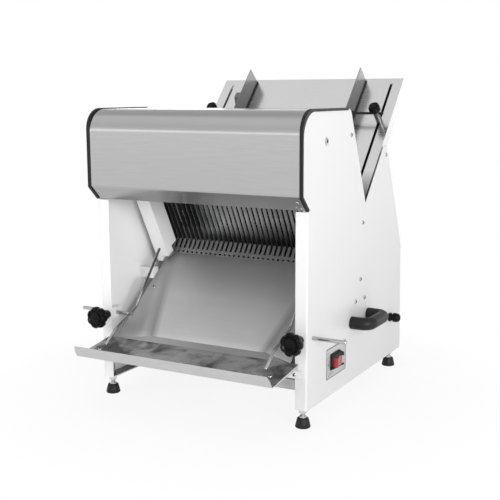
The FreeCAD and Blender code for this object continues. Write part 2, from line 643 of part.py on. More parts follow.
def infeed_strip():
    """Dark slide strip that the guide stands on."""
    return in_tray(box(GUIDE_X - STRIP_HALF, GUIDE_X + STRIP_HALF, GUIDE_T0, GUIDE_T1,
                       FIT, STRIP_H))


def infeed_rod():
    inner = GUIDE_X + GUIDE_SHEET / 2
    boss = rod_x(inner, inner + BOSS_LEN, POST_T, GUIDE_ROD_H, BOSS_R)
    bar = rod_x(inner + BOSS_LEN, GUIDE_ROD_OUT, POST_T, GUIDE_ROD_H, GUIDE_ROD_R)
    return in_tray(boss.fuse(bar).removeSplitter())


def grip_block():
    """Grip block beside the left guide, its front face leaning over the slope."""
    lean = math.radians(GRIP_LEAN)
    y0, z0 = TRAY_Y + GRIP_T * COS_T - FIT * SIN_T, TRAY_Z + GRIP_T * SIN_T + FIT * COS_T
    up = (-GRIP_RISE * math.sin(lean), GRIP_RISE * math.cos(lean))
    along = (GRIP_DEPTH * COS_T, GRIP_DEPTH * SIN_T)
    outline = [(y0, z0), (y0 + along[0], z0 + along[1]),
               (y0 + along[0] + up[0], z0 + along[1] + up[1]), (y0 + up[0], z0 + up[1])]
    x1 = -(GUIDE_X + STRIP_HALF)
    block = plate_x(outline, x1 - GRIP_W, x1)
    tab = in_tray(box(x1, -(GUIDE_X + GUIDE_SHEET / 2), GRIP_T, GRIP_T + GRIP_DEPTH,
                      GRIP_TAB_LOW, GRIP_TAB_TOP))
    return block.fuse(tab).removeSplitter()


# ---- discharge chute, ledge ---------------------------------------------------
def comb_z(y):
    rise = (COMB_END[1] - CHUTE_TOP[1]) / (COMB_END[0] - CHUTE_TOP[0])
    return CHUTE_TOP[1] + (y - CHUTE_TOP[0]) * rise


def discharge_chute():
    foot_y, foot_z = CHUTE_FOOT
    top_y, top_z = CHUTE_TOP
    end_y, end_z = COMB_END
    floor = facet([(-CHUTE_FOOT_HALF, foot_y, foot_z), (CHUTE_FOOT_HALF, foot_y, foot_z),
                   (CHUTE_TOP_HALF, top_y, top_z), (-CHUTE_TOP_HALF, top_y, top_z)], CHUTE_T)
    comb = facet([(-COMB_HALF, top_y, top_z), (COMB_HALF, top_y, top_z),
                  (COMB_HALF, end_y, end_z), (-COMB_HALF, end_y, end_z)], CHUTE_T)
    foot = (CHUTE_FOOT_HALF, foot_y, foot_z)
    top = (CHUTE_TOP_HALF, top_y, top_z)
    lower = facet([foot, WING_FOOT, WING_TOP], CHUTE_T)
    upper = facet([foot, WING_TOP, top], CHUTE_T)
    cheek = facet([top, WING_TOP, (COMB_HALF, CHEEK_Y, comb_z(CHEEK_Y))], CHUTE_T)
    wings = [lower, upper, cheek, mirror(lower), mirror(upper), mirror(cheek)]
    chute = fuse([floor, comb] + wings)
    slots = []
    for x in blade_places():
        slots.append(box(x - COMB_SLOT_W / 2, x + COMB_SLOT_W / 2, COMB_SLOT_Y,
                         end_y + HOLE_OVER, comb_z(COMB_SLOT_Y) - 2 * CHUTE_T,
                         end_z + HOLE_OVER))
    y0, y1 = COMB_STRIP_Y
    z0, z1 = comb_z(y0) - CHUTE_T, comb_z(y1) - CHUTE_T
    strip = facet([(-COMB_HALF, y0, z0), (COMB_HALF, y0, z0), (COMB_HALF, y1, z1),
                   (-COMB_HALF, y1, z1)], COMB_STRIP_T)
    return fuse([cut(chute, slots), strip])


def wing_edge(y):
    """Outer edge of the chute wing at one depth: (x, z) of its top face."""
    share = (y - WING_FOOT[1]) / (WING_TOP[1] - WING_FOOT[1])
    return (WING_FOOT[0] + share * (WING_TOP[0] - WING_FOOT[0]),
            WING_FOOT[2] + share * (WING_TOP[2] - WING_FOOT[2]))


def nylon_spacers():
    """Blocks beside the chute wings and rings between tray skirt and panel."""
    x, z = wing_edge(CHUTE_BLOCK_Y)
    parts = [box(x, HALF_W - SHEET, CHUTE_BLOCK_Y, CHUTE_BLOCK_Y + CHUTE_BLOCK_D,
                 z, z + CHUTE_BLOCK_H)]
    for y, z in TRAY_SCREWS:
        ring = rod_x(TRAY_HALF, HALF_W - SHEET, y, z, SPACER_R)
        parts.append(ring.cut(rod_x(TRAY_HALF - HOLE_OVER, HALF_W, y, z, SCREW_R)))
    return Part.makeCompound(parts)


def ledge_z(y):
    rise = (LEDGE_REAR[1] - LEDGE_FRONT[1]) / (LEDGE_REAR[0] - LEDGE_FRONT[0])
    return LEDGE_FRONT[1] + (y - LEDGE_FRONT[0]) * rise


def crumb_ledge():
    fy, fz = LEDGE_FRONT
    ry, rz = LEDGE_REAR
    iy = LEDGE_INNER_Y
    iz = ledge_z(iy)
    ly, lz = LIP_TOP
    w = LEDGE_HALF
    floor = facet([(-w, fy, fz), (w, fy, fz), (w, ry, rz), (-w, ry, rz)], LEDGE_T)
    inner = facet([(-LEDGE_INNER_HALF, ry, rz), (LEDGE_INNER_HALF, ry, rz),
                   (CHUTE_FOOT_HALF, iy, iz), (-CHUTE_FOOT_HALF, iy, iz)], LEDGE_T)
    cy, cz = fy + (ly - fy) * LIP_TRIM_SHARE, fz + (lz - fz) * LIP_TRIM_SHARE
    top = w - LIP_TRIM
    lip = facet([(-w, fy, fz), (-w, cy, cz), (-top, ly, lz), (top, ly, lz), (w, cy, cz),
                 (w, fy, fz)], LIP_T)
    skirt = plate_x([(fy, fz - LEDGE_T), (ry, rz - LEDGE_T), (ry, rz - LEDGE_SKIRT)],
                    w - LEDGE_T, w)
    ledge = fuse([floor, inner, lip, skirt, mirror(skirt)])
    holes = []
    columns = int((w - HOLE_MARGIN) / HOLE_PITCH)
    rows = int((ry - fy - HOLE_MARGIN) / HOLE_PITCH)
    for row in range(rows + 1):
        for column in range(-columns, columns + 1):
            x = column * HOLE_PITCH
            y = ry - HOLE_REAR - row * HOLE_PITCH
            if abs(x) < w - BRACKET_ROOM or row > BRACKET_ROWS:
                holes.append(rod_z(fz - LEDGE_SKIRT, rz + LEDGE_SKIRT, x, y, HOLE_R))
    return ledge.cut(Part.makeCompound(holes))


def ledge_bracket():
    """Angle on the front flange with an arm under the ledge."""
    x0 = HALF_W - BRACKET_IN
    wide = box(x0, HALF_W - BRACKET_OUT, -BRACKET_T, 0.0, BRACKET_Z0, BRACKET_Z1)

    def under(y):
        return ledge_z(y) - LEDGE_T - SEAT

    arm = plate_x([(0, BRACKET_Z0), (0, under(0)), (-BRACKET_REACH, under(-BRACKET_REACH)),
                   (-BRACKET_REACH, under(-BRACKET_REACH) - BRACKET_T),
                   (-BRACKET_T, under(-BRACKET_T) - BRACKET_T), (-BRACKET_T, BRACKET_Z0)],
                  x0, x0 + BRACKET_ARM_W)
    return wide.fuse(arm).removeSplitter()


# ---- outfeed wire guides -------------------------------------------------------
def wire_guide():
    points = [Vector(WIRE_X, ROD_Y + dy, ROD_Z + dz) for dy, dz in WIRE_PATH]
    wire = pipe(points, WIRE_R, WIRE_BEND)
    rod = rod_x(WIRE_X, ROD_OUT, ROD_Y, ROD_Z, ROD_R)
    return wire.fuse(rod).removeSplitter()


def rod_clamp():
    block = box(CLAMP_X0, HALF_W - BEND_R, SHEET, CLAMP_Y1, ROD_Z - CLAMP_H / 2,
                ROD_Z + CLAMP_H / 2)
    return cut(block, [rod_x(CLAMP_X0 - HOLE_OVER, HALF_W, ROD_Y, ROD_Z, ROD_R + RUN),
                       rod_y(SHEET - HOLE_OVER, ROD_Y, KNOB_X, ROD_Z, KNOB_STUD_R + RUN)])


def outfeed_knob():
    head = star_knob(KNOB_R, KNOB_T, LOBES)
    head.rotate(Vector(0, 0, 0), Vector(1, 0, 0), 90)
    head.translate(Vector(KNOB_X, KNOB_FACE_Y + KNOB_T, ROD_Z))
    boss = rod_y(KNOB_FACE_Y + KNOB_T, -FIT, KNOB_X, ROD_Z, KNOB_BOSS_R)
    stud = rod_y(-FIT, ROD_Y - ROD_R - FIT, KNOB_X, ROD_Z, KNOB_STUD_R)
    return fuse([head, boss, stud])


# ---- controls, handles, feet ---------------------------------------------------
def control_plate():
    plate = box(HALF_W, HALF_W + PLATE_T, PLATE_Y0, PLATE_Y1, PLATE_Z0, PLATE_Z1)
    window = box(HALF_W - HOLE_OVER, HALF_W + PLATE_T + HOLE_OVER,
                 SWITCH_Y - SWITCH_W / 2 + SWITCH_WALL,
                 SWITCH_Y + SWITCH_W / 2 - SWITCH_WALL, SWITCH_Z - SWITCH_H / 2 + SWITCH_WALL,
                 SWITCH_Z + SWITCH_H / 2 - SWITCH_WALL)
    return plate.cut(window)


def switch_guard():
    """Switch body behind the panel with a raised guard frame outside."""
    x0, x1 = HALF_W + PLATE_T, HALF_W + SWITCH_OUT
    y0, y1 = SWITCH_Y - SWITCH_W / 2, SWITCH_Y + SWITCH_W / 2
    z0, z1 = SWITCH_Z - SWITCH_H / 2, SWITCH_Z + SWITCH_H / 2
    w = SWITCH_WALL
    v = w - SWITCH_RIM
    frame = box(x0, x1, y0, y1, z0, z1).cut(box(x0 - 1, x1 + 1, y0 + w, y1 - w, z0 + w, z1 - w))
    neck = box(HALF_W - SWITCH_NECK, x0, y0 + w + SEAT, y1 - w - SEAT, z0 + w + SEAT,
               z1 - w - SEAT)
    ring = box(x0, x0 + SWITCH_SEAT, y0 + v, y1 - v, z0 + v, z1 - v)
    well = rod_z(z0 + w + WELL_WALL, z1 - w - WELL_WALL, HALF_W + ROCKER_AXIS_OUT, SWITCH_Y,
                 ROCKER_R + ROCKER_GAP)
    return fuse([frame, neck, ring]).cut(well)


def rocker():
    """Rocker with two pads, turning about a vertical axis; it rests pressed at one end."""
    z0 = SWITCH_Z - SWITCH_H / 2 + SWITCH_WALL + ROCKER_SIDE_GAP
    z1 = SWITCH_Z + SWITCH_H / 2 - SWITCH_WALL - ROCKER_SIDE_GAP
    axis_x = HALF_W + ROCKER_AXIS_OUT
    drum = rod_z(z0, z1, axis_x, SWITCH_Y, ROCKER_R)
    crest = HALF_W + SWITCH_OUT - ROCKER_CREST_IN
    keep = [Vector(axis_x - ROCKER_R / 2, SWITCH_Y - ROCKER_R, z0),
            Vector(axis_x - ROCKER_R / 2, SWITCH_Y + ROCKER_R, z0),
            Vector(crest, SWITCH_Y + ROCKER_R, z0), Vector(crest - ROCKER_VALLEY, SWITCH_Y, z0),
            Vector(crest, SWITCH_Y - ROCKER_R, z0)]
    prism = Part.Face(Part.makePolygon(keep + [keep[0]])).extrude(Vector(0, 0, z1 - z0))
    pads = drum.common(prism)
    pads.rotate(Vector(axis_x, SWITCH_Y, 0), Vector(0, 0, 1), ROCKER_TILT)
    return pads


def cable_gland():
    """Gland body with flange, neck and domed nut; the cord bore is empty."""
    neck_r, spigot_r = GLAND_R * 0.72, GLAND_R * 0.68
    flange_t, neck_end, spigot = 5.0, 10.0, 8.0
    shoulder, dome, crown = 0.5, 8.0, 2.5
    profile = [(CORD_BORE_R, -spigot), (spigot_r, -spigot), (spigot_r, 0), (GLAND_R, 0),
               (GLAND_R, flange_t), (neck_r, flange_t + shoulder), (neck_r, neck_end),
               (GLAND_R, neck_end + shoulder), (GLAND_R, GLAND_OUT - dome),
               (GLAND_R * 0.82, GLAND_OUT - crown), (GLAND_R * 0.55, GLAND_OUT),
               (CORD_BORE_R, GLAND_OUT)]
    points = [Vector(HALF_W + x, GLAND_Y + radius, GLAND_Z) for radius, x in profile]
    face = Part.Face(Part.makePolygon(points + [points[0]]))
    return face.revolve(Vector(0, GLAND_Y, GLAND_Z), Vector(1, 0, 0), 360)


def carry_handle():
    reach = HALF_W + HANDLE_REACH - HANDLE_R
    points = [Vector(HALF_W, HANDLE_Y0, HANDLE_Z), Vector(reach, HANDLE_Y0, HANDLE_Z),
              Vector(reach, HANDLE_Y1, HANDLE_Z), Vector(HALF_W, HANDLE_Y1, HANDLE_Z)]
    handle = pipe(points, HANDLE_R, HANDLE_BEND)
    bores = [rod_x(HALF_W - HOLE_OVER, HALF_W + HANDLE_BORE, y, HANDLE_Z, KNOB_STUD_R)
             for y in (HANDLE_Y0, HANDLE_Y1)]
    return cut(handle, bores)


def handle_bolts():
    bolts = []
    for y in (HANDLE_Y0, HANDLE_Y1):
        shank = rod_x(HALF_W - SHEET, HALF_W + HANDLE_BOLT, y, HANDLE_Z, KNOB_STUD_R)
        head = rod_x(HALF_W - SHEET - HANDLE_HEAD_T, HALF_W - SHEET, y, HANDLE_Z, HANDLE_HEAD_R)
        bolts.append(shank.fuse(head).removeSplitter())
    return Part.makeCompound(bolts + [mirror(b) for b in bolts])


def foot_rubber(side, y):
    pad = Part.makeCone(FOOT_R, FOOT_TOP_R, FOOT_H - FOOT_RIM_H,
                        Vector(side * FOOT_X, y, FOOT_RIM_H))
    rim = rod_z(0, FOOT_RIM_H, side * FOOT_X, y, FOOT_R - FOOT_RIM_IN)
    return pad.fuse(rim).removeSplitter()


def foot_stem(side, y):
    stem = rod_z(FOOT_H, PANEL_Z0 + STEM_UP, side * FOOT_X, y, STEM_R)
    collar = rod_z(FOOT_H, FOOT_H + COLLAR_H, side * FOOT_X, y, COLLAR_R)
    return stem.fuse(collar).removeSplitter()


def foot_nuts():
    nuts = [hex_nut(NUT_R, NUT_H, side * FOOT_X, y, PANEL_Z0 - NUT_H, STEM_R + RUN)
            for side in (-1, 1) for y in (FOOT_Y0, FOOT_Y1)]
    return Part.makeCompound(nuts)


# ---- blade frames ---------------------------------------------------------------
def blade_places(first=0, step=1):
    return [SLICE * i - BLADES_HALF for i in range(first, BLADE_COUNT, step)]


def holder_x(x):
    """Where the holder beside the blade at x stands."""
    x0 = x + BLADE_T / 2 + HOLDER_GAP
    return x0, x0 + HOLDER_T


def blade_set(first, holder_n):
    """Every other blade, riveted at both ends to a flat holder that reaches into its bar."""
    n0 = MID_N - BLADE_W / 2.0
    strips = []
    for x in blade_places(first, 2):
        strips.append(box(x - BLADE_T / 2, x + BLADE_T / 2, n0, n0 + BLADE_W, BLADE_LOW_S,
                          BLADE_TOP_S))
        x0, x1 = holder_x(x)
        for s0, s1 in ((BAR_LOW_S - BLADE_SEAT, BLADE_LOW_S + HOLDER_LAP),
                       (BLADE_TOP_S - HOLDER_LAP, BAR_TOP_S + BLADE_SEAT)):
            strips.append(box(x0, x1, holder_n[0], holder_n[1], s0, s1))
    return in_blade(Part.makeCompound(strips))


def blade_frame(first, span, holder_n, lug_x):
    n0, n1 = span
    half = STILE_X0 + STILE_W
    top = box(-half, half, n0, n1, BAR_TOP_S, BAR_TOP_S + BAR_H)
    low = box(-half, half, n0, n1, BAR_LOW_S - BAR_H, BAR_LOW_S)
    stile = box(STILE_X0, half, n0, n1, BAR_LOW_S, BAR_TOP_S)
    pin_n = (n0 + n1) / 2.0
    hang = box(lug_x, lug_x + LUG_T, n0, n1, PIN_S, BAR_LOW_S - BAR_H)
    tip = rod_x(lug_x, lug_x + LUG_T, pin_n, PIN_S, (n1 - n0) / 2.0)
    bore = rod_x(lug_x - HOLE_OVER, lug_x + LUG_T + HOLE_OVER, pin_n, PIN_S, PIN_R)
    lug = hang.fuse(tip).removeSplitter().cut(bore)
    pin = rod_x(lug_x, lug_x + LUG_T, pin_n, PIN_S, PIN_R)
    frame = fuse([top, low, stile, mirror(stile), lug, mirror(lug)])
    slits = []
    for x in blade_places(first, 2):
        x0, x1 = holder_x(x)
        for s0, s1 in ((BAR_TOP_S, BAR_TOP_S + BLADE_SEAT), (BAR_LOW_S - BLADE_SEAT, BAR_LOW_S)):
            slits.append(box(x0 - HOLDER_GAP, x1 + HOLDER_GAP, holder_n[0], holder_n[1], s0, s1))
    frame = frame.cut(Part.makeCompound(slits))
    return in_blade(Part.makeCompound([frame, pin, mirror(pin)]))


def tube(width, n, s, past):
    """Square tube beside the flange's inner edge; past lengthens the bore at both ends."""
    x0 = FLANGE_X - width
    outer = box(x0, FLANGE_X, n[0], n[1], s[0], s[1])
    return outer.cut(box(x0 + TUBE_WALL, FLANGE_X - TUBE_WALL, n[0] + TUBE_WALL, n[1] - TUBE_WALL,
                         s[0] - past, s[1] + past))


def guide_channel():
    """Two painted tubes in front of the stiles; the front one ends in a closed toe."""
    front, wall, rear = CHANNEL_N
    low = CHANNEL_S[0]
    outline = [(FLANGE_X - CHANNEL_W, low), (FLANGE_X - CHANNEL_W, TOE_HEEL_S),
               (FLANGE_X - TOE_STEP_IN, TOE_STEP_S), (FLANGE_X - TOE_IN, TOE_S),
               (FLANGE_X, TOE_S), (FLANGE_X, low)]
    points = [Vector(x, front, s) for x, s in outline]
    toe = Part.Face(Part.makePolygon(points + [points[0]])).extrude(Vector(0, wall - front, 0))
    tubes = [tube(CHANNEL_W, n, CHANNEL_S, HOLE_OVER) for n in ((front, wall), (wall, rear))]
    return in_blade(fuse(tubes + [toe]))


def guide_bracket():
    """Upper block and lower strap that tie the channel to the panel."""
    reach = HALF_W - SHEET
    upper = box(FLANGE_X, reach, *UPPER_BLOCK_N, *UPPER_BLOCK_S)
    lower = box(FLANGE_X, reach, *STRAP_N, *STRAP_S)
    pair = in_blade(Part.makeCompound([upper, lower]))
    y, z = GUIDE_SCREW
    return pair.cut(rod_x(HALF_W - GUIDE_SHANK_IN, HALF_W, y, z, SCREW_R))


def rear_rail():
    """Tube behind the stiles with the three-screw foot on the panel."""
    n0 = REAR_N[1] + RAIL_GAP
    n1 = n0 + RAIL_DEPTH
    reach = HALF_W - SHEET
    rail = tube(RAIL_W, (n0, n1), RAIL_S, HOLE_OVER)
    foot = box(FLANGE_X, reach, RAIL_FOOT_N0, n1, *RAIL_FOOT_S)
    relief = box(FLANGE_X - 1, reach - RAIL_FOOT_T, RAIL_FOOT_N0 - 1, n0, RAIL_FOOT_S[0] - 1,
                 RAIL_FOOT_S[1] + 1)
    rail = in_blade(rail.fuse(foot.cut(relief)).removeSplitter())
    return cut(rail, [rod_x(HALF_W - RAIL_SHANK_IN, HALF_W, y, z, SCREW_R)
                      for y, z in RAIL_SCREWS])


def slide_pads():
    """Nylon pads between the stiles and the channel in front and the rail behind."""
    pads = []
    x0 = FLANGE_X - PAD_IN
    for s0 in PAD_S:
        for n0, n1 in ((CHANNEL_N[2], FRONT_N[0] - FIT), (REAR_N[1] + FIT, REAR_N[1] + RAIL_GAP)):
            pads.append(box(x0, x0 + PAD_W, n0, n1, s0, s0 + PAD_LEN))
    pads += [mirror(p) for p in pads]
    return in_blade(Part.makeCompound(pads))


# ---- drive ------------------------------------------------------------------------
def eccentric_yz(side):
    return blade_yz(MID_N + side * THROW, SHAFT_S)


def eccentric_shaft():
    return rod_x(-SHAFT_HALF, SHAFT_HALF, SHAFT_Y, SHAFT_Z, SHAFT_R)


def sheaves():
    discs = []
    for side, x in ((-1, ROD_A_X), (1, ROD_B_X)):
        y, z = eccentric_yz(side)
        disc = rod_x(x - SHEAVE_OVER, x + ROD_T + SHEAVE_OVER, y, z, SHEAVE_R)
        disc = disc.cut(rod_x(x - HOLE_OVER, x + ROD_T + HOLE_OVER, SHAFT_Y, SHAFT_Z, SHAFT_R))
        discs += [disc, mirror(disc)]
    return Part.makeCompound(discs)


def connecting_rods(side, pin_n, x):
    """Strap round each sheave, shank and small-end eye, a left and a right one."""
    big = eccentric_yz(side)
    small = blade_yz(pin_n, PIN_S)
    angle = math.atan2(small[1] - big[1], small[0] - big[0])
    length = math.hypot(small[0] - big[0], small[1] - big[1])
    strap = Part.makeCylinder(SHEAVE_R + STRAP_WALL, ROD_T, Vector(0, 0, 0), Vector(1, 0, 0))
    shank = box(0, ROD_T, SHEAVE_R + SHANK_SINK, length, -SHANK_HALF, SHANK_HALF)
    eye = rod_x(0, ROD_T, length, 0, EYE_R)
    rod = fuse([strap, shank, eye])
    end = ROD_T + HOLE_OVER
    rod = cut(rod, [rod_x(-HOLE_OVER, end, 0, 0, SHEAVE_R + RUN),
                    rod_x(-HOLE_OVER, end, length, 0, PIN_R)])
    rod.rotate(Vector(0, 0, 0), Vector(1, 0, 0), math.degrees(angle))
    rod.translate(Vector(x, big[0], big[1]))
    return both(rod)


def pulley(radius, y, z, bore, windows):
    """V pulley turned from a profile, with lightening holes when it is large."""
    half = PULLEY_W / 2.0
    groove = radius - BELT_SINK - GROOVE_UNDER
    low, top = BELT_W / 2 + GROOVE_LOW, BELT_W / 2 + GROOVE_TOP
    profile = [(bore, -half), (radius, -half), (radius, -top), (groove, -low), (groove, low),
               (radius, top), (radius, half), (bore, half)]
    points = [Vector(PULLEY_X + x, y + r, z) for r, x in profile]
    face = Part.Face(Part.makePolygon(points + [points[0]]))
    wheel = face.revolve(Vector(0, y, z), Vector(1, 0, 0), 360)
    holes = []
    for i in range(windows):
        angle = 2 * math.pi * i / windows
        reach = (groove + bore) / 2.0
        holes.append(rod_x(PULLEY_X - half - 1, PULLEY_X + half + 1, y + reach * math.cos(angle),
                           z + reach * math.sin(angle), (groove - bore) * WINDOW_SHARE))
    return cut(wheel, holes)


def loop_face(x, r_big, r_small):
    """Face of the closed belt line round both pulleys at one offset."""
    dy, dz = MOTOR_Y - SHAFT_Y, MOTOR_Z - SHAFT_Z
    span = math.hypot(dy, dz)
    lean = math.atan2(dz, dy)
    wrap = math.acos((r_big - r_small) / span)
    big, small = Vector(x, SHAFT_Y, SHAFT_Z), Vector(x, MOTOR_Y, MOTOR_Z)

    def at(centre, radius, angle):
        return centre + Vector(0, radius * math.cos(angle), radius * math.sin(angle))

    up, down = lean + wrap, lean - wrap
    edges = [Part.LineSegment(at(big, r_big, up), at(small, r_small, up)).toShape(),
             Part.Arc(at(small, r_small, up), at(small, r_small, lean),
                      at(small, r_small, down)).toShape(),
             Part.LineSegment(at(small, r_small, down), at(big, r_big, down)).toShape(),
             Part.Arc(at(big, r_big, down), at(big, r_big, lean + math.pi),
                      at(big, r_big, up)).toShape()]
    return Part.Face(Part.Wire(edges))


def drive_belt():
    x0 = PULLEY_X - BELT_W / 2
    inner_big, inner_small = PULLEY_R - BELT_SINK, MOTOR_PULLEY_R - BELT_SINK
    outer = loop_face(x0, inner_big + BELT_H, inner_small + BELT_H).extrude(Vector(BELT_W, 0, 0))
    inner = loop_face(x0 - 1, inner_big, inner_small).extrude(Vector(BELT_W + 2, 0, 0))
    return outer.cut(inner)


def bearing():
    """Foot-mounted housing with the shaft running in it."""
    x0, x1 = BEARING_X0, BEARING_X0 + BEARING_W
    foot_z = SHAFT_Z - BEARING_DROP
    ring = rod_x(x0, x1, SHAFT_Y, SHAFT_Z, BEARING_R)
    foot = box(x0, x1, SHAFT_Y - BEARING_FOOT_HALF, SHAFT_Y + BEARING_FOOT_HALF, foot_z,
               foot_z + BEARING_FOOT_T)
    web = box(x0 + BEARING_WEB_IN, x1 - BEARING_WEB_IN, SHAFT_Y - BEARING_WEB_HALF,
              SHAFT_Y + BEARING_WEB_HALF, foot_z, SHAFT_Z)
    return fuse([ring, foot, web]).cut(rod_x(x0 - 1, x1 + 1, SHAFT_Y, SHAFT_Z, SHAFT_R + RUN))


def bearing_riser():
    """Folded stand welded to the base plate, under one bearing."""
    x0, x1 = BEARING_X0 - RISER_OVER, BEARING_X0 + BEARING_W + RISER_OVER
    z0, z1 = BASE_Z + BASE_T, SHAFT_Z - BEARING_DROP
    inner = RISER_HALF - RISER_T
    outer = box(x0, x1, SHAFT_Y - RISER_HALF, SHAFT_Y + RISER_HALF, z0, z1)
    return outer.cut(box(x0 - 1, x1 + 1, SHAFT_Y - inner, SHAFT_Y + inner, z0 + RISER_T,
                         z1 - RISER_T))


def motor_body():
    base = BASE_Z + BASE_T
    drum = rod_x(MOTOR_X0, MOTOR_X1, MOTOR_Y, MOTOR_Z, MOTOR_R)
    nose = rod_x(MOTOR_X1, MOTOR_X1 + MOTOR_NOSE, MOTOR_Y, MOTOR_Z, MOTOR_NOSE_R)
    foot = box(MOTOR_X0 + MOTOR_FOOT_IN, MOTOR_X1 - MOTOR_FOOT_IN, MOTOR_Y - MOTOR_FOOT_HALF,
               MOTOR_Y + MOTOR_FOOT_HALF, base, base + MOTOR_FOOT_T)
    web = box(MOTOR_X0 + MOTOR_WEB_IN, MOTOR_X1 - MOTOR_WEB_IN, MOTOR_Y - MOTOR_WEB_HALF,
              MOTOR_Y + MOTOR_WEB_HALF, base, MOTOR_Z)
    terminal = box(MOTOR_X0 + TERMINAL_X0, MOTOR_X0 + TERMINAL_X1, MOTOR_Y - TERMINAL_HALF,
                   MOTOR_Y + TERMINAL_HALF, MOTOR_Z + TERMINAL_LOW,
                   MOTOR_Z + MOTOR_R + TERMINAL_OVER)
    body = fuse([drum, nose, foot, web, terminal])
    inner = MOTOR_X1 - MOTOR_SHAFT_IN - MOTOR_SHAFT_END
    return body.cut(rod_x(inner, MOTOR_X1 + MOTOR_NOSE + HOLE_OVER, MOTOR_Y, MOTOR_Z,
                          MOTOR_SHAFT_R + RUN))


def fan_cover():
    return rod_x(MOTOR_X0 - FAN_COVER, MOTOR_X0, MOTOR_Y, MOTOR_Z, MOTOR_R + FAN_COVER_OVER)


def motor_shaft():
    return rod_x(MOTOR_X1 - MOTOR_SHAFT_IN, PULLEY_X + PULLEY_W / 2 + MOTOR_SHAFT_PAST, MOTOR_Y,
                 MOTOR_Z, MOTOR_SHAFT_R)


# ---- nodes ------------------------------------------------------------------------
def pieces():
    panel = side_panel()
    nodes = {
        "side_panel_left": mirror(panel),
        "side_panel_right": right_panel(),
        "hood_cover": hood_cover(),
        "hood_trims": both(hood_trim()),
        "base_plate": base_plate(),
        "rear_cover": rear_cover(),
        "tie_bar": tie_bar(),
        "panel_screws": panel_screws(),
        "nylon_spacers": both(nylon_spacers()),
        "infeed_tray": infeed_tray(),
        "discharge_chute": discharge_chute(),
        "crumb_ledge": crumb_ledge(),
        "control_plate": control_plate(),
        "switch_guard": switch_guard(),
        "switch_rocker": rocker(),
        "cable_gland": cable_gland(),
        "handle_bolts": handle_bolts(),
        "foot_lock_nuts": foot_nuts(),
        "slide_pads": slide_pads(),
        "blades_front": blade_set(0, FRONT_SEAT_N),
        "blades_rear": blade_set(1, REAR_SEAT_N),
        "blade_frame_front": blade_frame(0, FRONT_N, FRONT_SEAT_N, ROD_A_X + ROD_T + LUG_GAP),
        "blade_frame_rear": blade_frame(1, REAR_N, REAR_SEAT_N, ROD_B_X + ROD_T + LUG_GAP),
        "eccentric_shaft": eccentric_shaft(),
        "eccentric_sheaves": sheaves(),
        "connecting_rods_front": connecting_rods(-1, FRONT_PIN_N, ROD_A_X),
        "connecting_rods_rear": connecting_rods(1, REAR_PIN_N, ROD_B_X),
        "driven_pulley": pulley(PULLEY_R, SHAFT_Y, SHAFT_Z, SHAFT_R, PULLEY_WINDOWS),
        "motor_pulley": pulley(MOTOR_PULLEY_R, MOTOR_Y, MOTOR_Z, MOTOR_SHAFT_R, 0),
        "drive_belt": drive_belt(),
        "motor_body": motor_body(),
        "motor_fan_cover": fan_cover(),
        "motor_shaft": motor_shaft(),
        "infeed_grip_block": grip_block(),
    }
    sets = {
        "guide_channels": guide_channel(), "guide_brackets": guide_bracket(),
        "rear_rails": rear_rail(), "ledge_brackets": ledge_bracket(),
        "rod_clamps": rod_clamp(), "carry_handles": carry_handle(),
        "shaft_bearings": bearing(),
    }
    for name, shape in sets.items():
        nodes[name] = both(shape)
    pairs = {
        "wire_guide": wire_guide(), "outfeed_knob": outfeed_knob(),
        "infeed_post": infeed_post(), "infeed_knob": infeed_knob(),
        "infeed_guide": infeed_guide(), "infeed_strip": infeed_strip(),
        "infeed_rod": infeed_rod(),
    }
    for name, shape in pairs.items():
        nodes[name + "_right"] = shape
        nodes[name + "_left"] = mirror(shape)
    places = {"front_left": (-1, FOOT_Y0), "front_right": (1, FOOT_Y0),
              "rear_left": (-1, FOOT_Y1), "rear_right": (1, FOOT_Y1)}
    for name, (side, y) in places.items():
        nodes["foot_" + name] = Part.makeCompound([foot_rubber(side, y), foot_stem(side, y)])
    return nodes


def save(nodes):
    os.makedirs("parts", exist_ok=True)
    for name, shape in nodes.items():
        moved = shape.copy()
        moved.translate(Vector(0, -ORIGIN_Y, 0))
        moved.exportStep("parts/" + name + ".step")
        size = moved.BoundBox
        print("%-24s solids %2d valid %s vol %.0f  z %.1f..%.1f" % (
            name, len(moved.Solids), moved.isValid(), moved.Volume, size.ZMin, size.ZMax))
    print("nodes", len(nodes))


save(pieces())
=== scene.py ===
from math import cos, pi, radians, sin, tan

import bmesh
import bpy
from mathutils import Matrix, Vector


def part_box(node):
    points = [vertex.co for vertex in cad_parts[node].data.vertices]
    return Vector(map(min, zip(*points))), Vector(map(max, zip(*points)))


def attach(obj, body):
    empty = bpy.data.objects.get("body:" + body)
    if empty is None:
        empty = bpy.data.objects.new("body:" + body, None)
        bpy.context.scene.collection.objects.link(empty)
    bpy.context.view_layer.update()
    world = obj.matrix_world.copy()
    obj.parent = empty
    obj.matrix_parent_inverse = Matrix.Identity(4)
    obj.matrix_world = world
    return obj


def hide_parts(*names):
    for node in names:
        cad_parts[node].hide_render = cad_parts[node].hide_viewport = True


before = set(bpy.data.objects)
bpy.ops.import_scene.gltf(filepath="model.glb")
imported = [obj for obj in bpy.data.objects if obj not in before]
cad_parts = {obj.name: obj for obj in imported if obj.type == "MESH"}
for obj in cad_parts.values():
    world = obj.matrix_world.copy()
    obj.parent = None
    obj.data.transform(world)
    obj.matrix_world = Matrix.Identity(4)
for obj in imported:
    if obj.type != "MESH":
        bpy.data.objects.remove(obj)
SCENE = bpy.context.scene
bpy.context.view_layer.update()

# ---- driving sizes, in millimetres and degrees ----
# Machine frame: X to the operator's right, Y backwards from the panels' front face, Z up.
MM = 0.001
HOOD_FRONT_Y = -28.0
ORIGIN_Y = HOOD_FRONT_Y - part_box("hood_cover")[0].y / MM
HALF_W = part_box("side_panel_right")[1].x / MM

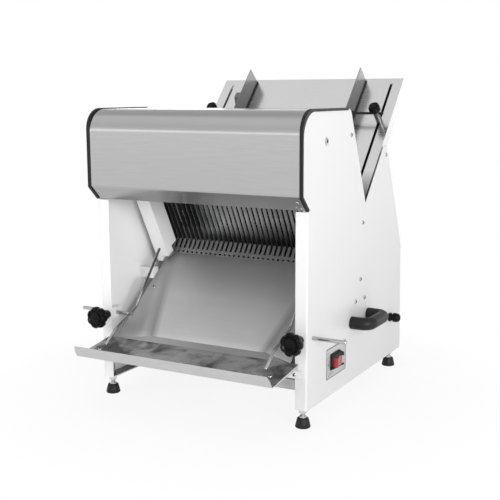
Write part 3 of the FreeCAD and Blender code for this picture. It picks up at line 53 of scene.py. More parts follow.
BLADE_PITCH, BLADE_COUNT = 12.0, 32
BLADE_T, BLADE_W, BLADE_TILT = 0.7, 12.0, 28.4
BLADE_Y, BLADE_Z = 212.0, 308.5
BLADE_N, BLADE_LOW_S, BLADE_TOP_S = 6.5, -38.0, 195.0
HOLDER_X0, HOLDER_X1, HOLDER_S = 0.45, 2.45, ((-86.0, -30.0), (187.0, 243.0))
FRONT_HOLDER_N, REAR_HOLDER_N = 0.0, 13.0
SCALLOP, SCALLOP_DEPTH, GROUND = 9.0, 1.1, 2.6

CHUTE_FOOT, CHUTE_TOP = (135.0, 29.0, 132.0), (184.0, 196.0, 281.6)
WING_FOOT, WING_TOP = (205.0, 0.2, 127.7), (200.0, 176.0, 260.0)
CHUTE_FOLD_R, CHUTE_T = 26.0, 1.5
COMB_HALF, COMB_SLOT_Y, COMB_END = 190.0, 197.0, (218.0, 311.4)
COMB_SLOT_W, COMB_STRIP_Y, CHEEK_Y = 5.2, (201.0, 205.0), 211.0

LEDGE_HALF, LEDGE_T = 221.0, 1.5
LEDGE_FRONT, LEDGE_REAR, LEDGE_INNER_Y = (-107.0, 113.0), (-0.6, 128.0), 27.5
LEDGE_INNER_HALF, LEDGE_SKIRT = 198.0, 10.0
LIP_TOP, LIP_T = (-119.6, 136.0), 2.4
HOLE_PITCH, HOLE_R, HOLE_SIDES = 5.0, 1.5, 8
PERFORATED_HALF, LEDGE_HEM, LEDGE_MARGIN = 187.5, 12.0, 7.0

ROD_R, ROD_Y, ROD_Z, ROD_OUT = 4.0, 25.0, 175.0, 309.0
WIRE_R, WIRE_X, WIRE_BEND = 3.0, 184.0, 16.0
WIRE_PATH = ((-88.0, -47.0), (-50.0, -19.0), (18.0, 9.0), (113.0, 124.0))
KNOB_X, KNOB_R, KNOB_T, KNOB_FACE_Y = 225.0, 23.0, 16.0, -44.0

TRAY_SLOPE, TRAY_Y, TRAY_Z = 47.8, 338.0, 461.5
GUIDE_X, POST_X, POST_T, POST_H, GUIDE_ROD_H = 143.0, 208.0, 150.0, 34.0, 25.0
POST_KNOB_R, POST_KNOB_T, GUIDE_ROD_R = 13.0, 15.0, 3.0
RINGS_PER_TURN, THREAD_SIDES = 6, 18
SLOT_COVER_T = (-26.0, 267.0)

PLATE_Y0, PLATE_Y1, PLATE_Z0, PLATE_Z1, PLATE_T = 89.0, 184.0, 73.5, 135.0, 1.5
SWITCH_Y, SWITCH_Z, SWITCH_W, SWITCH_H, SWITCH_OUT = 128.5, 106.0, 42.0, 32.0, 14.0
RAIL_LEAN, ROCKER_AXIS_OUT, ROCKER_R, ROCKER_TILT = 0.28, 8.0, 16.0, 8.0
DASH_GAP, RING_GAP, TICK_GAP = 9.0, 12.0, 5.5
GLAND_Y, GLAND_Z, GLAND_R, GLAND_OUT = 443.0, 126.0, 10.5, 25.5
HANDLE_Y0, HANDLE_Y1, HANDLE_Z = 215.5, 306.5, 163.0
HANDLE_R, HANDLE_REACH, HANDLE_BEND = 13.2, 52.5, 17.0
FOOT_X, FOOT_Y0, FOOT_Y1 = 226.0, 13.0, 480.6
FOOT_R, FOOT_TOP_R, FOOT_H, STEM_R, STEM_TOP = 15.0, 11.0, 20.0, 5.0, 62.6
NUT_R, NUT_LOW, NUT_TOP = 8.5, 28.6, 36.6

PANEL_SCREWS = ((271.0, 366.0), (401.0, 500.0), (263.0, 247.0), (287.0, 203.0),
                (238.0, 203.0), (202.0, 551.0))
GUIDE_SCREW = (81.0, 544.0)
BEVEL_SCREW, BEVEL_PINS = (226.0, -16.0, 436.2), ((228.0, -4.5, 424.9), (219.0, -6.0, 426.3))
LEDGE_SCREW, BRACKET_SCREW = (196.0, -66.0), (214.0, -2.1, 106.0)
WING_SCREW_UP, WING_SCREW_ACROSS = 0.62, 0.62

# Where painted shade changes, in the row frame's X and Z, and how far from the chute's folds.
PANEL_SHADE_Z, BLADE_SHADE_X, BLADE_SHADE_Z = (60.0, 430.0), (-125.0, -25.0), (322.0, 368.0)
FOLD_SHADE_HALF, WING_SHADE = 17.0, (2.0, 30.0)

# ---- the photograph's camera ----
CAMERA_AT = Vector((0.95049, -1.72481, 0.63238))
CAMERA_AZIMUTH, CAMERA_PITCH, CAMERA_ROLL = 28.74, 9.62, 0.22
LENS, SENSOR = 66.23, 36.0

X, Y, Z = Vector((1, 0, 0)), Vector((0, 1, 0)), Vector((0, 0, 1))


# ---- places ----
def at(x, y, z):
    """A point of the machine frame, in the row frame."""
    return Vector((x, y - ORIGIN_Y, z)) * MM


def tilted(angle, y0, z0, x, off, along):
    """A point given off and along a line whose top leans forwards by an angle."""
    c, s = cos(radians(angle)), sin(radians(angle))
    return at(x, y0 + off * c - along * s, z0 + off * s + along * c)


def blade_x(i):
    return BLADE_PITCH * (i - (BLADE_COUNT - 1) / 2)


def blade_point(x, n, s):
    """s runs up the blades, n stands off them towards the loaf."""
    return tilted(BLADE_TILT, BLADE_Y, BLADE_Z, x, n, s)


def tray_point(x, t, h):
    """t runs up the tray's slope, h stands off its sheet."""
    return tilted(TRAY_SLOPE, TRAY_Y, TRAY_Z, x, t, h)


TRAY_OFF = (tray_point(0, 0, 1) - tray_point(0, 0, 0)).normalized()


# ---- mesh tools ----
def skin(bm, rings, closed=True, caps=True, loop=False):
    """Quads between successive rings of points."""
    made = [[bm.verts.new(p) for p in ring] for ring in rings]
    pairs = list(zip(made, made[1:])) + ([(made[-1], made[0])] if loop else [])
    count = len(made[0])
    for low, high in pairs:
        for i in range(count if closed else count - 1):
            j = (i + 1) % count
            bm.faces.new((low[i], low[j], high[j], high[i]))
    if caps:
        bm.faces.new(made[0][::-1])
        bm.faces.new(made[-1])


def across(axis):
    """Two directions square to an axis."""
    side = axis.cross(Z if abs(axis.z) < 0.9 else X).normalized()
    return side, axis.cross(side).normalized()


def lathe(bm, profile, origin, axis, segments=48, shape=None, loop=False):
    """Turns (radius, height) pairs in millimetres round an axis; shape may change each radius.

    With loop the last pair is joined to the first, which makes a tube."""
    side, other = across(axis)
    rings = []
    for radius, height in profile:
        ring = []
        for i in range(segments):
            angle = 2 * pi * i / segments
            r = shape(angle, radius, height) if shape else radius
            out = side * cos(angle) + other * sin(angle)
            ring.append(origin + (axis * height + out * r) * MM)
        rings.append(ring)
    skin(bm, rings, caps=not loop, loop=loop)


def threaded(bm, origin, axis, radius, length, pitch, depth):
    """A bar with a helical ridge."""
    count = int(length / pitch * RINGS_PER_TURN)

    def ridge(angle, r, height):
        ends = min(1.0, height / pitch, (length - height) / pitch)
        phase = (height / pitch - angle / (2 * pi)) % 1.0
        return r - depth * abs(2 * phase - 1) * ends - depth * (1 - ends)

    profile = [(radius, length * i / count) for i in range(count + 1)]
    lathe(bm, profile, origin, axis, THREAD_SIDES, ridge)


def rounded(points, radii, steps):
    """The path with each corner replaced by an arc of so many steps."""
    path = [Vector(points[0])]
    for before, corner, after, radius in zip(points, points[1:], points[2:], radii[1:]):
        corner = Vector(corner)
        a = (Vector(before) - corner).normalized()
        b = (Vector(after) - corner).normalized()
        half = a.angle(b) / 2
        if radius <= 0 or half > radians(89.5):
            path.append(corner)
            continue
        reach = radius / tan(half)
        centre = corner + (a + b).normalized() * (radius / sin(half))
        start, end = corner + a * reach - centre, corner + b * reach - centre
        turn = start.angle(end)
        for i in range(steps + 1):
            share = i / steps
            path.append(centre + (start * sin((1 - share) * turn)
                                  + end * sin(share * turn)) / sin(turn))
    path.append(Vector(points[-1]))
    return path


DOME = [(0.6 * (1 - sin(a)), cos(a)) for a in map(radians, (75, 50, 25, 0))]


def sweep(bm, path, radius, segments=20, ends=DOME, steer=None):
    """A round bar along a path in metres.

    ends shapes its ends: the distance inwards and the share of the radius, both per radius."""
    last = len(path) - 1
    side = steer or across((path[1] - path[0]).normalized())[0]
    rings = []
    for i, point in enumerate(path):
        ahead = (path[min(i + 1, last)] - path[max(i - 1, 0)]).normalized()
        side = (side - ahead * side.dot(ahead)).normalized()
        other = ahead.cross(side)
        places = [(0.0, 1.0)]
        if i == 0:
            places = ends
        elif i == last:
            places = [(-inwards, share) for inwards, share in ends[::-1]]
        for shift, share in places:
            centre = point + ahead * shift * radius
            rings.append([centre + (side * cos(a) + other * sin(a)) * radius * share
                          for a in (2 * pi * k / segments for k in range(segments))])
    skin(bm, rings)


def block(bm, lo, hi, radius, segments=2):
    """A box with rounded edges, between two corners in the row frame."""
    middle, size = (lo + hi) / 2, hi - lo
    matrix = Matrix.Translation(middle) @ Matrix.Diagonal((*size, 1.0))
    cube = bmesh.ops.create_cube(bm, size=1.0, matrix=matrix)
    edges = {edge for vert in cube["verts"] for edge in vert.link_edges}
    bmesh.ops.bevel(bm, geom=list(edges), offset=radius * MM, segments=segments, affect="EDGES",
                    profile=0.5, clamp_overlap=True)


def hexagon(angle, radius):
    """Radius of a hexagon of that corner radius at an angle."""
    sector = radians(60)
    return radius * cos(sector / 2) / cos(angle % sector - sector / 2)


def screw_head(bm, sockets, centre, axis, radius, height, washer=0.0, bore=0.56):
    """A domed head with a hexagon socket, on a thin washer where one is asked for."""
    socket = radius * bore
    profile = [(radius, 0.0), (radius, height * 0.35), (radius * 0.93, height * 0.65),
               (radius * 0.78, height * 0.9), (socket * 1.2, height), (socket, height * 0.96),
               (socket, height * 0.2)]

    def shape(angle, r, h):
        return hexagon(angle, r * 1.08) if r <= socket else r

    base = centre
    if washer:
        lathe(bm, [(washer, 0.0), (washer, 0.35), (washer - 0.2, 0.5), (radius * 0.9, 0.5)],
              base, axis, 32)
        base = centre + axis * 0.5 * MM
    lathe(bm, profile, base, axis, 36, shape)
    lathe(sockets, [(socket * 0.98, height * 0.22), (socket * 0.97, height * 0.3)], base, axis, 36,
          lambda angle, r, h: hexagon(angle, r * 1.08))


def add_modifier(piece, kind, **settings):
    modifier = piece.modifiers.new(kind.lower(), kind)
    for name, value in settings.items():
        setattr(modifier, name, value)


def soften(piece, width):
    """Rounds the piece's edges by a width in millimetres."""
    add_modifier(piece, "BEVEL", width=width * MM, segments=2, limit_method="ANGLE")


def placed(name, data):
    thing = bpy.data.objects.new(name, data)
    SCENE.collection.objects.link(thing)
    return thing


def finish_piece(name, bm, material, nodes=(), sharp=35.0, body="housing"):
    """Makes the mesh a named piece that rides on a body and stands for CAD nodes."""
    bmesh.ops.remove_doubles(bm, verts=bm.verts, dist=0.00001)
    bmesh.ops.recalc_face_normals(bm, faces=bm.faces)
    mesh = bpy.data.meshes.new(name)
    bm.to_mesh(mesh)
    bm.free()
    mesh.materials.append(material)
    mesh.shade_smooth()
    mesh.set_sharp_from_angle(angle=radians(sharp))
    piece = placed(name, mesh)
    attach(piece, body)
    if nodes:
        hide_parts(*nodes)
    return piece


# ---- node tools ----
def node(tree, kind, inputs=None, **settings):
    """Adds a ShaderNode of a kind; an input is a value or another node's output."""
    made = tree.nodes.new("ShaderNode" + kind)
    for name, value in settings.items():
        setattr(made, name, value)
    for name, value in (inputs or {}).items():
        if isinstance(value, bpy.types.NodeSocket):
            tree.links.new(value, made.inputs[name])
        else:
            made.inputs[name].default_value = value
    return made


def spot(tree, space="Object"):
    """The X, Y and Z of a texture coordinate; for Object in metres of the row frame."""
    place = node(tree, "TexCoord")
    return node(tree, "SeparateXYZ", {0: place.outputs[space]}).outputs


def noise(tree, scale, stretch=(1, 1, 1), detail=2.0, roughness=0.5, distortion=0.0):
    """Noise in object space; scale counts features per metre."""
    place = node(tree, "TexCoord")
    mapping = node(tree, "Mapping", {"Vector": place.outputs["Object"], "Scale": stretch})
    inputs = {"Vector": mapping.outputs["Vector"], "Scale": scale, "Detail": detail,
              "Roughness": roughness, "Distortion": distortion}
    return node(tree, "TexNoise", inputs).outputs["Fac"]


def remap(tree, value, low, high, to_low=0.0, to_high=1.0):
    inputs = {"Value": value, "From Min": low, "From Max": high, "To Min": to_low,
              "To Max": to_high}
    return node(tree, "MapRange", inputs).outputs["Result"]


def calc(tree, operation, a, b):
    return node(tree, "Math", {0: a, 1: b}, operation=operation).outputs[0]


def mix(tree, share, a, b):
    """Colour mix; a number stands for a grey, and the outputs' 2 is the colour."""
    a, b = [grey(colour) if isinstance(colour, float) else colour for colour in (a, b)]
    return node(tree, "Mix", {0: share, 6: a, 7: b}, data_type="RGBA").outputs[2]


def bump(tree, height, depth, strength):
    inputs = {"Height": height, "Strength": strength, "Distance": depth * MM}
    return node(tree, "Bump", inputs).outputs["Normal"]


def edge_mask(tree, radius, strength):
    """Rises from 0 on flat ground to a strength on the piece's edges."""
    bevel = node(tree, "Bevel", {"Radius": radius * MM}, samples=4)
    ground = node(tree, "NewGeometry")
    both = {0: bevel.outputs["Normal"], 1: ground.outputs["Normal"]}
    dot = node(tree, "VectorMath", both, operation="DOT_PRODUCT")
    mask = remap(tree, dot.outputs["Value"], 0.995, 0.86)
    return calc(tree, "MULTIPLY", mask, strength)


def grey(value, warmth=0.0):
    return (value * (1 + warmth), value, value * (1 - warmth), 1.0)


def new_material(name):
    material = bpy.data.materials.new(name)
    material.use_nodes = True
    material.node_tree.nodes.clear()
    return material, material.node_tree


def surface(tree, inputs):
    shader = node(tree, "BsdfPrincipled", inputs)
    node(tree, "OutputMaterial", {"Surface": shader.outputs["BSDF"]})


# ---- materials ----
def coated_white(name, tone, foot=1.0, shade=None, inside_shade=None):
    """Powder coat: faint orange peel, slight unevenness, edges a little duller.

    foot is the share of the tone left at the machine's bottom: painted shade, darker downwards.
    The inside tone is dark, dull painted shade on the faces that look forwards, into the machine."""
    material, tree = new_material(name)
    cloud = noise(tree, 9.0)
    peel = noise(tree, 900.0)
    worn = edge_mask(tree, 0.9, 0.35)
    colour = mix(tree, cloud, tone * 0.985, grey(tone, 0.002))
    colour = mix(tree, worn, colour, tone * 0.86)
    # Painted shade: the tone darkens towards the bottom of the machine.
    if foot < 1.0:
        low, high = PANEL_SHADE_Z
        fade = remap(tree, spot(tree)["Z"], low * MM, high * MM, 1.0, 0.0)
        colour = mix(tree, fade, colour, tone * foot)
    if shade:
        colour = shade(tree, colour)
    # Painted shade: faces that look forwards, into the machine, turn near black and dull.
    if inside_shade:
        inside = remap(tree, spot(tree, "Normal")["Y"], -0.1, -0.3)
        colour = mix(tree, inside, colour, inside_shade)
        rough = remap(tree, inside, 0.0, 1.0, 0.34, 0.6)
    else:
        rough = remap(tree, cloud, 0.3, 0.7, 0.3, 0.38)
    surface(tree, {"Base Color": colour, "Roughness": rough, "Specular IOR Level": 0.45,
                   "Normal": bump(tree, peel, 0.02, 0.35)})
    return material


def brushed(name, tone, rough=0.3, brush_axis=0, streak=0.10, shade=None, blur=0.55, metallic=1.0,
            smudges=0.25, blotch=(14.0, 0.35, 0.75, 0.72), relief=0.35):
    """Brushed metal: fine streaks along one axis, soft smudges, bright worn edges.

    blotch holds the smudges' scale, where they begin and end in the noise, and their tone."""
    scale, begins, ends, stain = blotch
    material, tree = new_material(name)
    stretch = [1.0, 1.0, 1.0]
    stretch[brush_axis] = 0.012
    fine = noise(tree, 1400.0, stretch)
    stretch[brush_axis] = 0.03
    coarse = noise(tree, 420.0, stretch, detail=3.0)
    smudge = noise(tree, scale, detail=3.0, distortion=0.6)
    streaks = calc(tree, "ADD", calc(tree, "MULTIPLY", fine, 0.6),
                   calc(tree, "MULTIPLY", coarse, 0.4))
    colour = mix(tree, remap(tree, streaks, 0.35, 0.65), tone * (1 - streak),
                 tone * (1 + streak * 0.6))
    colour = mix(tree, remap(tree, smudge, begins, ends, 0.0, smudges), colour, tone * stain)
    if shade:
        colour = shade(tree, colour)
    worn = edge_mask(tree, 0.5, 0.5)
    colour = mix(tree, worn, colour, min(tone * 1.25, 0.9))
    uneven = calc(tree, "ADD", remap(tree, streaks, 0.3, 0.7, rough - 0.05, rough + 0.06),
                  remap(tree, smudge, 0.3, 0.8, -0.02, 0.2 * smudges))
    tangent = node(tree, "Tangent", direction_type="RADIAL", axis="XYZ"[brush_axis])
    surface(tree, {"Base Color": colour, "Metallic": metallic, "Roughness": uneven,
                   "Anisotropic": blur, "Tangent": tangent.outputs["Tangent"],
                   "Normal": bump(tree, streaks, 0.008, relief)})
    return material


def polished(name, tone, rough=0.12):
    """Drawn or plated bright steel with faint handling marks."""
    material, tree = new_material(name)
    marks = noise(tree, 160.0, detail=4.0, distortion=0.8)
    fine = noise(tree, 2200.0, detail=1.0)
    colour = mix(tree, remap(tree, marks, 0.4, 0.8, 0.0, 0.6), tone, tone * 0.85)
    surface(tree, {"Base Color": colour, "Metallic": 1.0,
                   "Roughness": remap(tree, marks, 0.3, 0.75, rough, rough + 0.14),
                   "Normal": bump(tree, fine, 0.004, 0.3)})
    return material


def machined(name, tone, rough=0.38, metallic=1.0, grain=420.0):
    """Cast or milled metal with a dull grain and brighter corners."""
    material, tree = new_material(name)
    cast = noise(tree, grain, detail=4.0, roughness=0.6)
    cloud = noise(tree, 30.0)
    worn = edge_mask(tree, 0.8, 0.5)
    colour = mix(tree, cloud, tone * 0.86, tone * 1.06)
    colour = mix(tree, worn, colour, min(tone * 1.5, 0.85))
    surface(tree, {"Base Color": colour, "Metallic": metallic,
                   "Roughness": remap(tree, cast, 0.3, 0.7, rough - 0.06, rough + 0.12),
                   "Normal": bump(tree, cast, 0.05, 0.4)})
    return material


def moulded(name, tone, rough=0.35, grain=1100.0, depth=0.02, shine=0.25):
    """Moulded plastic or rubber: fine texture, slight sheen changes, rubbed edges."""
    material, tree = new_material(name)
    texture = noise(tree, grain)
    cloud = noise(tree, 45.0, detail=3.0)
    worn = edge_mask(tree, 0.7, 0.35)
    colour = mix(tree, cloud, tone * 0.8, tone * 1.25)
    colour = mix(tree, worn, colour, tone * 2.2 + 0.004)
    surface(tree, {"Base Color": colour, "Specular IOR Level": shine,
                   "Roughness": remap(tree, cloud, 0.3, 0.7, rough - 0.05, rough + 0.08),
                   "Normal": bump(tree, texture, depth, 0.4)})
    return material


def lit_red(name):
    """Clear red moulding that glows faintly."""
    material, tree = new_material(name)
    cloud = noise(tree, 90.0)
    colour = mix(tree, cloud, (0.27, 0.016, 0.014, 1.0), (0.36, 0.03, 0.027, 1.0))
    surface(tree, {"Base Color": colour, "Roughness": remap(tree, cloud, 0.3, 0.7, 0.16, 0.26),
                   "Transmission Weight": 0.15, "IOR": 1.49, "Coat Weight": 0.5,
                   "Coat Roughness": 0.08, "Emission Color": (0.4, 0.02, 0.015, 1.0),
                   "Emission Strength": 0.08, "Normal": bump(tree, cloud, 0.02, 0.2)})
    return material


def shade_between(axis, low, high, dark_low, dark_high, dark=0.05):
    """Painted shade that changes evenly along one axis of the piece,
    in millimetres of the row frame.
    """
    def apply(tree, colour):
        share = remap(tree, spot(tree)[axis], low * MM, high * MM, dark_low, dark_high)
        return mix(tree, share, colour, dark)
    return apply


def blade_shade(tree, colour):
    """Painted shade: blades grow dark towards the left wall and down behind the comb."""
    place = spot(tree)
    left = remap(tree, place["X"], *(x * MM for x in BLADE_SHADE_X), 0.98, 0.0)
    low = remap(tree, place["Z"], *(z * MM for z in BLADE_SHADE_Z), 0.97, 0.0)
    return mix(tree, calc(tree, "MAXIMUM", left, low), colour, 0.012)


def chute_shade(tree, colour):
    """Painted shade: dark soft lines along the chute's two folds, fading towards the comb;
    darker wings and a darker upper half.
    """
    place = spot(tree)
    foot, top = at(*CHUTE_FOOT), at(*CHUTE_TOP)
    fold = remap(tree, place["Y"], foot.y, top.y, foot.x, top.x)
    away = calc(tree, "SUBTRACT", calc(tree, "ABSOLUTE", place["X"], 0.0), fold)
    near = remap(tree, calc(tree, "ABSOLUTE", away, 0.0), 0.0, FOLD_SHADE_HALF * MM, 0.62, 0.0)
    fade = remap(tree, place["Y"], foot.y, top.y, 1.0, 0.15)
    colour = mix(tree, calc(tree, "MULTIPLY", near, fade), colour, 0.10)
    wing = remap(tree, away, *(x * MM for x in WING_SHADE), 0.0, 0.38)
    colour = mix(tree, wing, colour, 0.12)
    high = remap(tree, place["Y"], (foot.y + top.y) / 2, top.y, 0.0, 0.60)
    return mix(tree, high, colour, 0.12)


WHITE = coated_white("white_powder_coat", 0.86)
# Painted light: the left panel and the guide channels get a brighter copy of the white.
LIT_WHITE = coated_white("white_powder_coat_painted_lighter", 0.94)
# Painted shade: the right panel gets a darker copy of the white, darker still towards the bottom.
SHADED_SIDE_WHITE = coated_white("white_powder_coat_right_painted_shade", 0.83, 0.88)
# Painted shade: the base plate turns dark towards its left side.
SHADED_BASE_WHITE = coated_white("white_powder_coat_base_painted_shade", 0.86,
                          shade=shade_between("X", -170, -60, 0.92, 0.0))
# Painted shade: the rear cover is near black on the faces that look into the machine.
INSIDE_SHADE_WHITE = coated_white("powder_coat_painted_inside_shade", 0.86, inside_shade=0.03)
# Painted shade: the hood's lower bevel is a little darker, for the darker reflection it shows.
HOOD = brushed("hood_steel", 0.47, 0.19, 0, 0.03, shade=shade_between("Z", 452, 444, 0.0, 0.2),
               blur=0.4, smudges=0.06)
# Painted shade: the tray turns near black low down, near the blades.
TRAY = brushed("tray_steel", 0.76, 0.24, 0, 0.02, smudges=0.06, relief=0.12,
               shade=shade_between("Z", 470, 410, 0.0, 1.0, 0.02))
# Painted shade in the chute's folds, wings and upper half, from chute_shade.
CHUTE = brushed("chute_steel", 0.60, 0.42, 0, 0.04, shade=chute_shade, metallic=0.6, smudges=0.2)
LEDGE = brushed("ledge_steel", 0.44, 0.36, 0, 0.05, metallic=0.7, smudges=1.0,
                blotch=(20.0, 0.42, 0.62, 0.22))
LIP = brushed("lip_steel", 0.56, 0.34, 0, 0.04, metallic=0.7, smudges=0.2)
# Painted shade: the infeed guides darken towards their lower ends.
GUIDE = brushed("guide_steel", 0.31, 0.30, 0, 0.07, metallic=0.6,
                shade=shade_between("Z", 570, 690, 0.8, 0.15, 0.06))
# Painted light and shade: near-white non-metal blades, darkened towards the left and low down.
SPRING = brushed("blade_steel", 0.95, 0.30, 2, 0.03, metallic=0.0, blur=0.0, smudges=0.35,
                 shade=blade_shade, blotch=(9.0, 0.48, 0.62, 0.10))
BRIGHT = polished("bright_steel", 0.78, 0.10)
WIRE = polished("wire_steel", 0.48, 0.10)
PLATED = polished("plated_steel", 0.62, 0.16)
PLATE = brushed("satin_plate", 0.56, 0.34, 2, 0.06)
# Painted shade: the aluminium is made very dark so the gaps between the blades read as shade.
ALU = machined("milled_aluminium", 0.14, 0.46)
IRON = machined("cast_iron", 0.08, 0.55, 0.9, 260.0)
PAINT = moulded("motor_paint", 0.05, 0.42, 500.0, 0.05)
GLOSS_BLACK = moulded("knob_black", 0.004, 0.28, 900.0, 0.01, 0.13)
SATIN_BLACK = moulded("trim_black", 0.010, 0.42, 1100.0, 0.03)
GRIP_BLACK = moulded("grip_black", 0.012, 0.44, 1300.0, 0.04)
RUBBER = moulded("foot_rubber", 0.012, 0.5, 700.0, 0.05)
BLACK_STEEL = machined("black_steel", 0.02, 0.38, 0.7, 900.0)
GRIP_METAL = brushed("grip_metal", 0.20, 0.36, 0, 0.06, metallic=0.5)
POST_STEEL = machined("post_steel", 0.17, 0.36)
NYLON = moulded("nylon", 0.80, 0.40, 600.0, 0.02, 0.5)
RED = lit_red("lit_red")
INK = moulded("dark_print_and_edge_lines", 0.06, 0.5)
SHADOW = moulded("socket_shadow", 0.004, 0.6, 900.0, 0.02)


# ---- CAD nodes that stay: material and softened edges ----
KEPT = (
    (LIT_WHITE, 0.5, "side_panel_left"), (LIT_WHITE, 0.9, "guide_channels"),
    (SHADED_SIDE_WHITE, 0.5, "side_panel_right"), (INSIDE_SHADE_WHITE, 0.3, "rear_cover"),
    (SHADED_BASE_WHITE, 0.3, "base_plate"), (WHITE, 0.7, "rear_rails"), (HOOD, 0.25, "hood_cover"),
    (SATIN_BLACK, 0.9, "hood_trims"), (TRAY, 0.3, "infeed_tray"), (PLATED, 0.4, "handle_bolts"),
    (BRIGHT, 0.3, "tie_bar motor_shaft"), (BRIGHT, 0.4, "ledge_brackets eccentric_shaft"),
    (NYLON, 0.5, "slide_pads"), (NYLON, 0.6, "guide_brackets"), (NYLON, 0.8, "nylon_spacers"),
    (NYLON, 0.9, "rod_clamps"), (GUIDE, 0.3, "infeed_guide_left infeed_guide_right"),
    (SATIN_BLACK, 0.4, "infeed_strip_left infeed_strip_right"),
    (POST_STEEL, 0.4, "infeed_post_left infeed_post_right"),
    (GRIP_METAL, 1.0, "infeed_grip_block"), (ALU, 0.4, "blade_frame_front blade_frame_rear"),
    (ALU, 0.6, "connecting_rods_front connecting_rods_rear"), (IRON, 0.8, "shaft_bearings"),
    (IRON, 0.5, "eccentric_sheaves driven_pulley motor_pulley"), (RUBBER, 0.4, "drive_belt"),
    (PAINT, 1.0, "motor_body"), (PAINT, 1.5, "motor_fan_cover"),
)


def dress_kept_nodes():
    """Each row of KEPT: material, width of the softened edges, and the nodes that get them."""
    for material, edge, names in KEPT:
        for name in names.split():
            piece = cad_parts[name]
            for material_slot in piece.material_slots:
                material_slot.material = material
            add_modifier(piece, "WELD", merge_threshold=0.000005)
            add_modifier(piece, "BEVEL", width=edge * MM, segments=2, limit_method="ANGLE",
                         angle_limit=radians(40), use_clamp_overlap=True)
            add_modifier(piece, "WEIGHTED_NORMAL", keep_sharp=False, weight=60)


# ---- blades ----
def blade(bm, x, holder_n):
    """One strip with a hollow-ground, scalloped edge towards the loaf, and its two flat holders."""
    half, n0, steps = BLADE_T / 2, BLADE_N, 5
    count = int((BLADE_TOP_S - BLADE_LOW_S) / SCALLOP * steps)
    rings = []
    for i in range(count + 1):
        s = BLADE_LOW_S + (BLADE_TOP_S - BLADE_LOW_S) * i / count
        dip = SCALLOP_DEPTH * sin(pi * (i % steps) / steps)
        edge = n0 + BLADE_W - dip
        ground = n0 + BLADE_W - GROUND - dip * 0.6
        section = ((-half, n0 + 0.3), (-half / 2, n0), (half / 2, n0), (half, n0 + 0.3),
                   (half, ground), (0.05, edge), (-0.05, edge), (-half, ground))
        rings.append([blade_point(x + dx, n, s) for dx, n in section])
    skin(bm, rings)
    for low, high in HOLDER_S:
        rings = []
        for s, inset in ((low, 0.6), (low + 0.6, 0.0), (high - 0.6, 0.0), (high, 0.6)):
            n1, n2 = holder_n + inset, holder_n + BLADE_W - inset
            rings.append([blade_point(x + dx, n, s) for dx, n in
                          ((HOLDER_X0, n1), (HOLDER_X1, n1), (HOLDER_X1, n2), (HOLDER_X0, n2))])
        skin(bm, rings)


def blade_set(word, first, holder_n):
    bm, name = bmesh.new(), "blades_" + word
    for i in range(first, BLADE_COUNT, 2):
        blade(bm, blade_x(i), holder_n)
    finish_piece(name + "_ground", bm, SPRING, [name], 20, "blade_frame_" + word)


# ---- chute ----
def chute():
    """Floor and wings with soft folds, lofted from the foot to the top."""
    bm = bmesh.new()
    rows, steps = [], 14
    for i in range(steps + 1):
        share = i / steps
        edge = at(*CHUTE_FOOT).lerp(at(*CHUTE_TOP), share)
        wing = at(*WING_FOOT).lerp(at(*WING_TOP), share)
        line = [*(Vector((-p.x, p.y, p.z)) for p in (wing, edge)), edge, wing]
        radius = CHUTE_FOLD_R * (1 - 0.6 * share) * MM
        rows.append(rounded(line, (0, radius, radius, 0), 8))
    skin(bm, rows, closed=False, caps=False)
    piece = finish_piece("discharge_chute_pan", bm, CHUTE,
                         ["discharge_chute"], 40)
    add_modifier(piece, "SOLIDIFY", thickness=CHUTE_T * MM, offset=-1.0)
    soften(piece, 0.3)
    comb()


def comb():
    """Strip of fingers that the blades pass between, with rounded tips."""
    bm = bmesh.new()
    (top_y, top_z), (end_y, end_z) = CHUTE_TOP[1:], COMB_END
    rise = (end_z - top_z) / (end_y - top_y)

    def point(x, y):
        return at(x, y, top_z + (y - top_y) * rise)

    def vert(x, y):
        return bm.verts.new(point(x, y))

    breaks = [-COMB_HALF]
    for i in range(BLADE_COUNT):
        breaks += [blade_x(i) - COMB_SLOT_W / 2, blade_x(i) + COMB_SLOT_W / 2]
    breaks.append(COMB_HALF)
    low = [vert(x, top_y - 1.5) for x in breaks]
    high = [vert(x, COMB_SLOT_Y) for x in breaks]
    for i in range(len(breaks) - 1):
        bm.faces.new((low[i], low[i + 1], high[i + 1], high[i]))
        if i % 2:
            continue
        x0, x1 = breaks[i], breaks[i + 1]
        inset = min((x1 - x0) * 0.3, 1.6)
        tip = [vert(x, end_y - short) for x, short in
               ((x1, 3.0), (x1 - inset * 0.3, 1.0), (x1 - inset, 0.0), (x0 + inset, 0.0),
                (x0 + inset * 0.3, 1.0), (x0, 3.0))]
        bm.faces.new((high[i], high[i + 1], *tip))
    y0, y1 = COMB_STRIP_Y
    for side in (-1, 1):
        bm.faces.new([bm.verts.new(p) for p in
                      (at(side * CHUTE_TOP[0], top_y, top_z), at(side * WING_TOP[0], *WING_TOP[1:]),
                       point(side * COMB_HALF, CHEEK_Y))][::side])
    under = at(0, 0, -CHUTE_T * 1.3) - at(0, 0, 0)
    bm.faces.new([bm.verts.new(point(x, y) + under) for x, y in
                  ((-COMB_HALF, y0), (COMB_HALF, y0), (COMB_HALF, y1), (-COMB_HALF, y1))])
    piece = finish_piece("discharge_chute_comb", bm, CHUTE)
    add_modifier(piece, "SOLIDIFY", thickness=CHUTE_T * 1.2 * MM, offset=-1.0)
    soften(piece, 0.45)


# ---- crumb ledge ----
def ledge_z(y):
    rise = (LEDGE_REAR[1] - LEDGE_FRONT[1]) / (LEDGE_REAR[0] - LEDGE_FRONT[0])
    return LEDGE_FRONT[1] + (y - LEDGE_FRONT[0]) * rise


